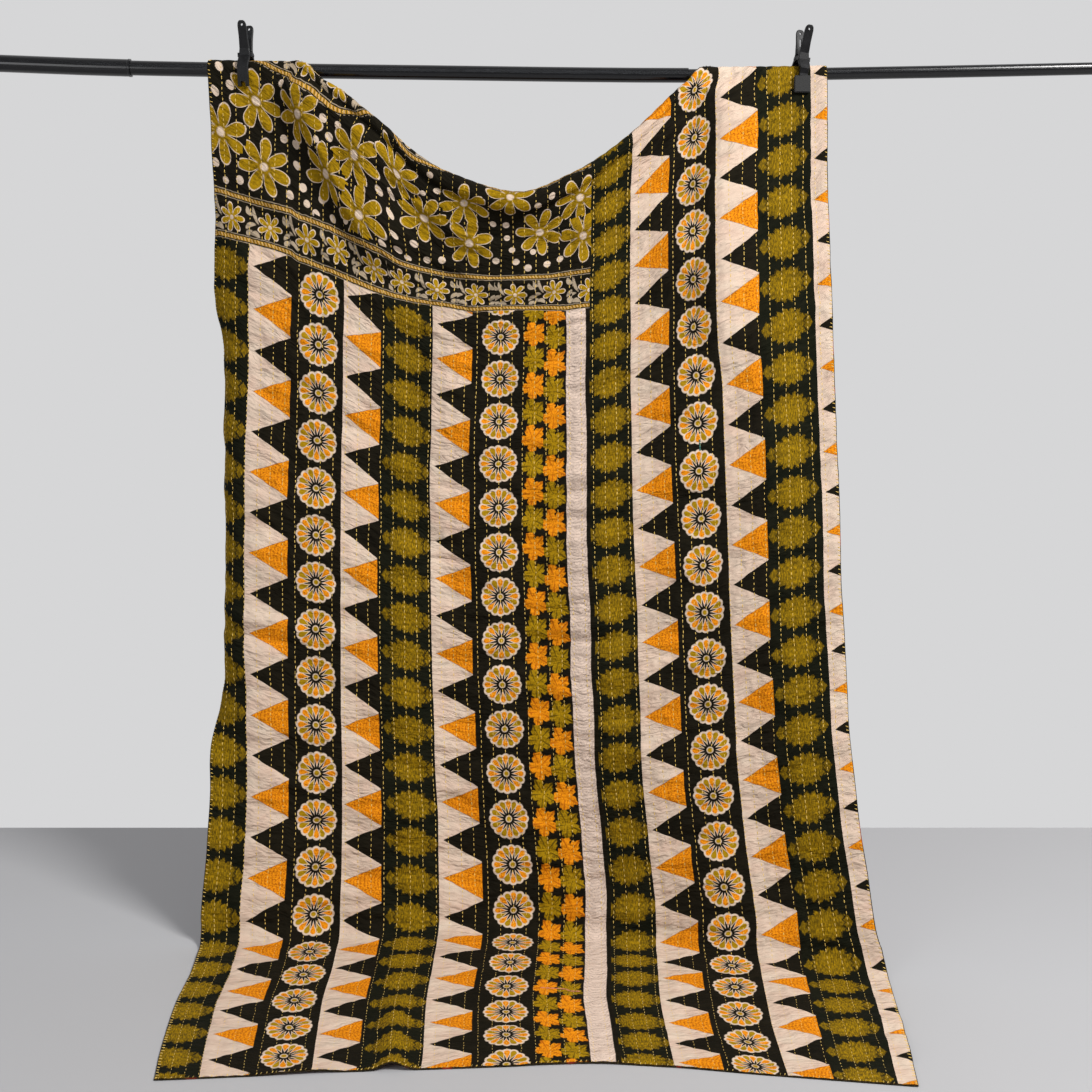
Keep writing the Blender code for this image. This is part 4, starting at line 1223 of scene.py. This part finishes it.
def flowers():
    """Large olive flowers outlined in cream, and cream dots between them, on black."""
    paint = Cotton("flowers print")
    x, y = paint.printed("motif", 0.10, 0.03)
    dot_x, dot_y = paint.uv("dots")
    dot = (dot_x * dot_x + dot_y * dot_y).under(1.0, 0.12)
    fill, outline, middle = petals(paint, x, y, 0.10)
    speck = paint.speckle(0.006, 0.006, 13.0, detail=2.0, rough=0.7)
    radius, _ = paint.polar(x, y)
    shaded = (speck - radius * 0.35 + 0.16).over(0.06, 0.20)
    gold = paint.mix(shaded * 0.8, OLIVE, OLIVE_DARK)
    return paint.finish_cloth(BLACK, (dot, CREAM), (outline, CREAM), (fill, gold), (middle, CREAM))


def rope(across, up):
    """A twisted yellow rope between two cream lines, as layers of mask and colour."""
    off = up.size()
    twist = (across / 0.0072 + up * 75.0).centred()
    cord = (off + twist.size() * 0.0016).under(0.0037, 0.0006)
    lines = (off - 0.0058 - (across / 0.0144).centred().size() * 0.0014).size().under(0.0006, 0.0006)
    return (
        (off.under(0.0085, 0.0005), BLACK),
        (lines, CREAM_DULL),
        (cord, ROPE_YELLOW),
        (cord * twist.size().under(0.10, 0.08) * 0.9, BLACK),
        (cord * twist.size().over(0.40, 0.06) * 0.5, CREAM),
    )


def blade(x, y, place):
    """The mask of one small leaf of the vine."""
    cos, sin = math.cos(math.radians(place.turn)), math.sin(math.radians(place.turn))
    along = ((x - place.x) * cos + (y - place.y) * sin) / place.long
    aside = ((y - place.y) * cos - (x - place.x) * sin) / place.wide
    bowed = aside + along * along * 0.8
    return (along * along + bowed * bowed).under(1.0, 0.25)


def band():
    """Small flowers on a leafy vine, between two ropes."""
    paint = Cotton("flower band print")
    across, _ = paint.uv("print")
    _, up = paint.printed("print", 0.0016, 0.03)
    x, y = paint.uv("motif")
    fill, outline, middle = petals(paint, x, y, 0.20)
    from_middle = x - x.math("SIGN") * VINE_MIDDLE
    vine = blade(from_middle, y, BLADES[0])
    for place in BLADES[1:]:
        vine = vine.math("MAXIMUM", blade(from_middle, y, place))
    return paint.finish_cloth(
        BLACK,
        (vine, CREAM_DULL),
        (outline, CREAM),
        (fill, OLIVE),
        (middle, CREAM),
        *rope(across, up - LOWER_ROPE_UP),
        *rope(across, up - MIDDLE_ROPE_UP),
    )


def reverse_cotton():
    """The plain brick-red back, with the stripes' dyes showing through in places."""
    paint = Cotton("reverse cotton")
    stain = paint.speckle(0.07, 0.18, 5.0, detail=3.0)
    return paint.finish_cloth(paint.mix(stain.over(-0.05, 0.30) * 0.55, REVERSE_RED, REVERSE_STAIN))


def edge_cotton():
    """Black cotton, browned and rubbed down to the red reverse in patches."""
    paint = Paint("hem cotton", COTTON_ROUGHNESS, COTTON_SPECULAR)
    thread = paint.grain(0.004, 0.004)
    color = paint.mix(thread.over(0.0, 0.2), BLACK, HEM_BROWN)
    color = paint.mix(paint.grain(0.05, 0.05).over(0.13, 0.03), color, REVERSE_RED)
    return paint.finish(color, thread * 0.0004)


def cotton_thread(name, color):
    """Twisted thread: fine slanting plies and uneven colour."""
    paint = Paint(name, 0.75)
    paint.shader["Sheen Weight"].default_value = 0.2
    x, y, z = paint.place()
    ply = ((x + z + y) * (2 * math.pi / PLY_PITCH)).math("SINE")
    shade = paint.grain(0.03, 0.03, detail=3.0) * 0.5 + ply * 0.06 + CLOTH_SHADE
    return paint.finish(paint.shade(color, shade), ply * 0.00006)


def painted_tube():
    """Black paint on steel, slightly uneven, with rubbed streaks along it."""
    paint = Paint("black painted tube", 0.30)
    rubbed = paint.grain(0.05, 0.004, detail=3.0, rough=0.6)
    color = paint.mix(rubbed.over(0.10, 0.15), TUBE_BLACK, TUBE_RUBBED)
    return paint.finish(color, paint.grain(0.002, 0.002) * 0.00002, rubbed * 0.10 + 0.20)


def moulded_plastic():
    """Black plastic with a fine grain, shinier where it is handled."""
    paint = Paint("black moulded plastic", 0.5, specular=0.22)
    handled = paint.grain(0.012, 0.012, detail=3.0)
    color = paint.mix(handled.over(0.05, 0.2), PLASTIC_BLACK, PLASTIC_GREY)
    return paint.finish(color, paint.grain(0.0009, 0.0009) * 0.00012, handled * 0.3 + 0.48)


def black_rubber():
    paint = Paint("black rubber", 0.8)
    grain = paint.grain(0.0015, 0.0015, detail=3.0)
    color = paint.mix(grain.over(0.0, 0.2), RUBBER_BLACK, RUBBER_GREY)
    return paint.finish(color, grain * 0.0003, grain * 0.2 + 0.8)


def spring_steel():
    paint = Paint("spring steel", 0.35, metallic=1.0)
    drawn = paint.grain(0.004, 0.0006)
    color = paint.mix(drawn.over(0.0, 0.2), STEEL, STEEL_DARK)
    return paint.finish(color, drawn * 0.00005, drawn * 0.2 + 0.35)


def plain_floor():
    paint = Paint("pale floor", 0.7)
    return paint.finish(paint.shade(FLOOR_GREY, paint.grain(0.6, 0.6, detail=3.0) * 0.04 + 1.0))


# ---- the scene


def set_material(node, material):
    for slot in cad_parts[node].material_slots:
        slot.material = material


def make_stage():
    front = [(side, FLOOR_FRONT, 0) for side in (-FLOOR_SIDE, FLOOR_SIDE)]
    back = [(side, FLOOR_BACK, 0) for side in (FLOOR_SIDE, -FLOOR_SIDE)]
    mesh = bpy.data.meshes.new("floor")
    mesh.from_pydata(front + back, [], [(0, 1, 2, 3)])
    mesh.materials.append(plain_floor())
    floor = bpy.data.objects.new("floor", mesh)
    bpy.context.scene.collection.objects.link(floor)


def make_light(name, place, aim, size, power, color):
    light = bpy.data.lights.new(name, "AREA")
    light.shape = "RECTANGLE"
    light.size, light.size_y = size
    light.energy = power
    light.color = color
    obj = bpy.data.objects.new(name, light)
    obj.location = place
    obj.rotation_euler = (Vector(aim) - Vector(place)).to_track_quat("-Z", "Y").to_euler()
    bpy.context.scene.collection.objects.link(obj)
    return obj


def make_lights():
    """Places, aims and sizes in metres, power in watts."""
    make_light("key", (2.8, -2.2, 4.1), (0, 0.1, 0.9), (1.5, 1.5), 322, (1.0, 0.99, 0.975))
    make_light("fill", (-2.8, -3.2, 1.6), (0, 0.1, 0.9), (2.0, 2.0), 36, (0.98, 0.985, 1.0))
    strip = make_light("strip", (0.0, -2.4, 3.8), (0, 0.0, 1.8), (3.4, 0.20), 70, (0.90, 0.95, 1.0))
    strip.visible_diffuse = False  # it is there for the line of light along the rod


def make_world():
    """A pale studio, brighter behind the quilt than in front of it."""
    world = bpy.data.worlds.new("studio")
    world.use_nodes = True
    tree = world.node_tree
    place = made(tree, "ShaderNodeTexCoord", {}, "Generated")
    back = made(tree, "ShaderNodeSeparateXYZ", {0: place}, "Y")
    inputs = {"Value": back, "From Min": -0.7, "From Max": 0.5}
    share = made(tree, "ShaderNodeMapRange", inputs, "Result", interpolation_type="SMOOTHSTEP")
    inputs = {0: share, 6: STUDIO_FRONT, 7: STUDIO_BACK}
    color = made(tree, "ShaderNodeMix", inputs, 2, data_type="RGBA")
    tree.links.new(color.socket, tree.nodes["Background"].inputs["Color"])
    bpy.context.scene.world = world


def make_camera():
    data = bpy.data.cameras.new("camera")
    data.lens = CAMERA_LENS
    data.sensor_width = SENSOR_WIDE
    camera = bpy.data.objects.new("camera", data)
    camera.location = CAMERA_PLACE
    camera.rotation_euler = (math.radians(90 - CAMERA_DOWN), 0, 0)
    bpy.context.scene.collection.objects.link(camera)
    bpy.context.scene.camera = camera
    bpy.context.scene.view_settings.view_transform = "Standard"


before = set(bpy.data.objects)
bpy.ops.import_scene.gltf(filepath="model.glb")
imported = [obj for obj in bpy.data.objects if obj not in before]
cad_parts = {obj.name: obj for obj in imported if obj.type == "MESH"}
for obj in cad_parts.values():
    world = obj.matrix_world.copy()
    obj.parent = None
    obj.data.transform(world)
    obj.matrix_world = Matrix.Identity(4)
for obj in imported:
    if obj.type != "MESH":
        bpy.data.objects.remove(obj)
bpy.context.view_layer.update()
make_camera()
make_lights()
make_world()
make_stage()

panel = Panel(Sight(Cloth(lambda across: FIRST_EDGE)))
cloth = Cloth(panel.edge)
prints = (ovals, triangles, rosettes, leaves, plain_strip, flowers, band)
face = make_face(cloth, panel, {make.__name__: make() for make in prints})
reverse = make_reverse(cloth, reverse_cotton())
hem = make_hem(cloth, edge_cotton())
yellow = cotton_thread("yellow thread", THREAD_YELLOW)
pale = cotton_thread("reverse thread", REVERSE_THREAD)
front = running_stitches(cloth, "front_stitches", 1, 0.0, yellow, 3)
behind = running_stitches(cloth, "reverse_stitches", -1, DASH_PITCH / 2, pale, 4)
edging = edge_stitches(cloth, yellow)
mends = [
    mend(cloth, "mend_salmon", (0.680, 2.105), (0.757, 2.100), cotton_thread("salmon thread", SALMON)),
    mend(cloth, "mend_teal", (1.052, 0.795), (1.052, 0.822), cotton_thread("teal thread", TEAL)),
]
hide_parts("quilt")

steel = spring_steel()
looks = {
    "tube": painted_tube(),
    "lever": moulded_plastic(),
    "pad": black_rubber(),
    "pin": steel,
    "spring": steel,
}
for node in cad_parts:
    last_word = node.split("_")[-1]
    if last_word in looks:
        set_material(node, looks[last_word])
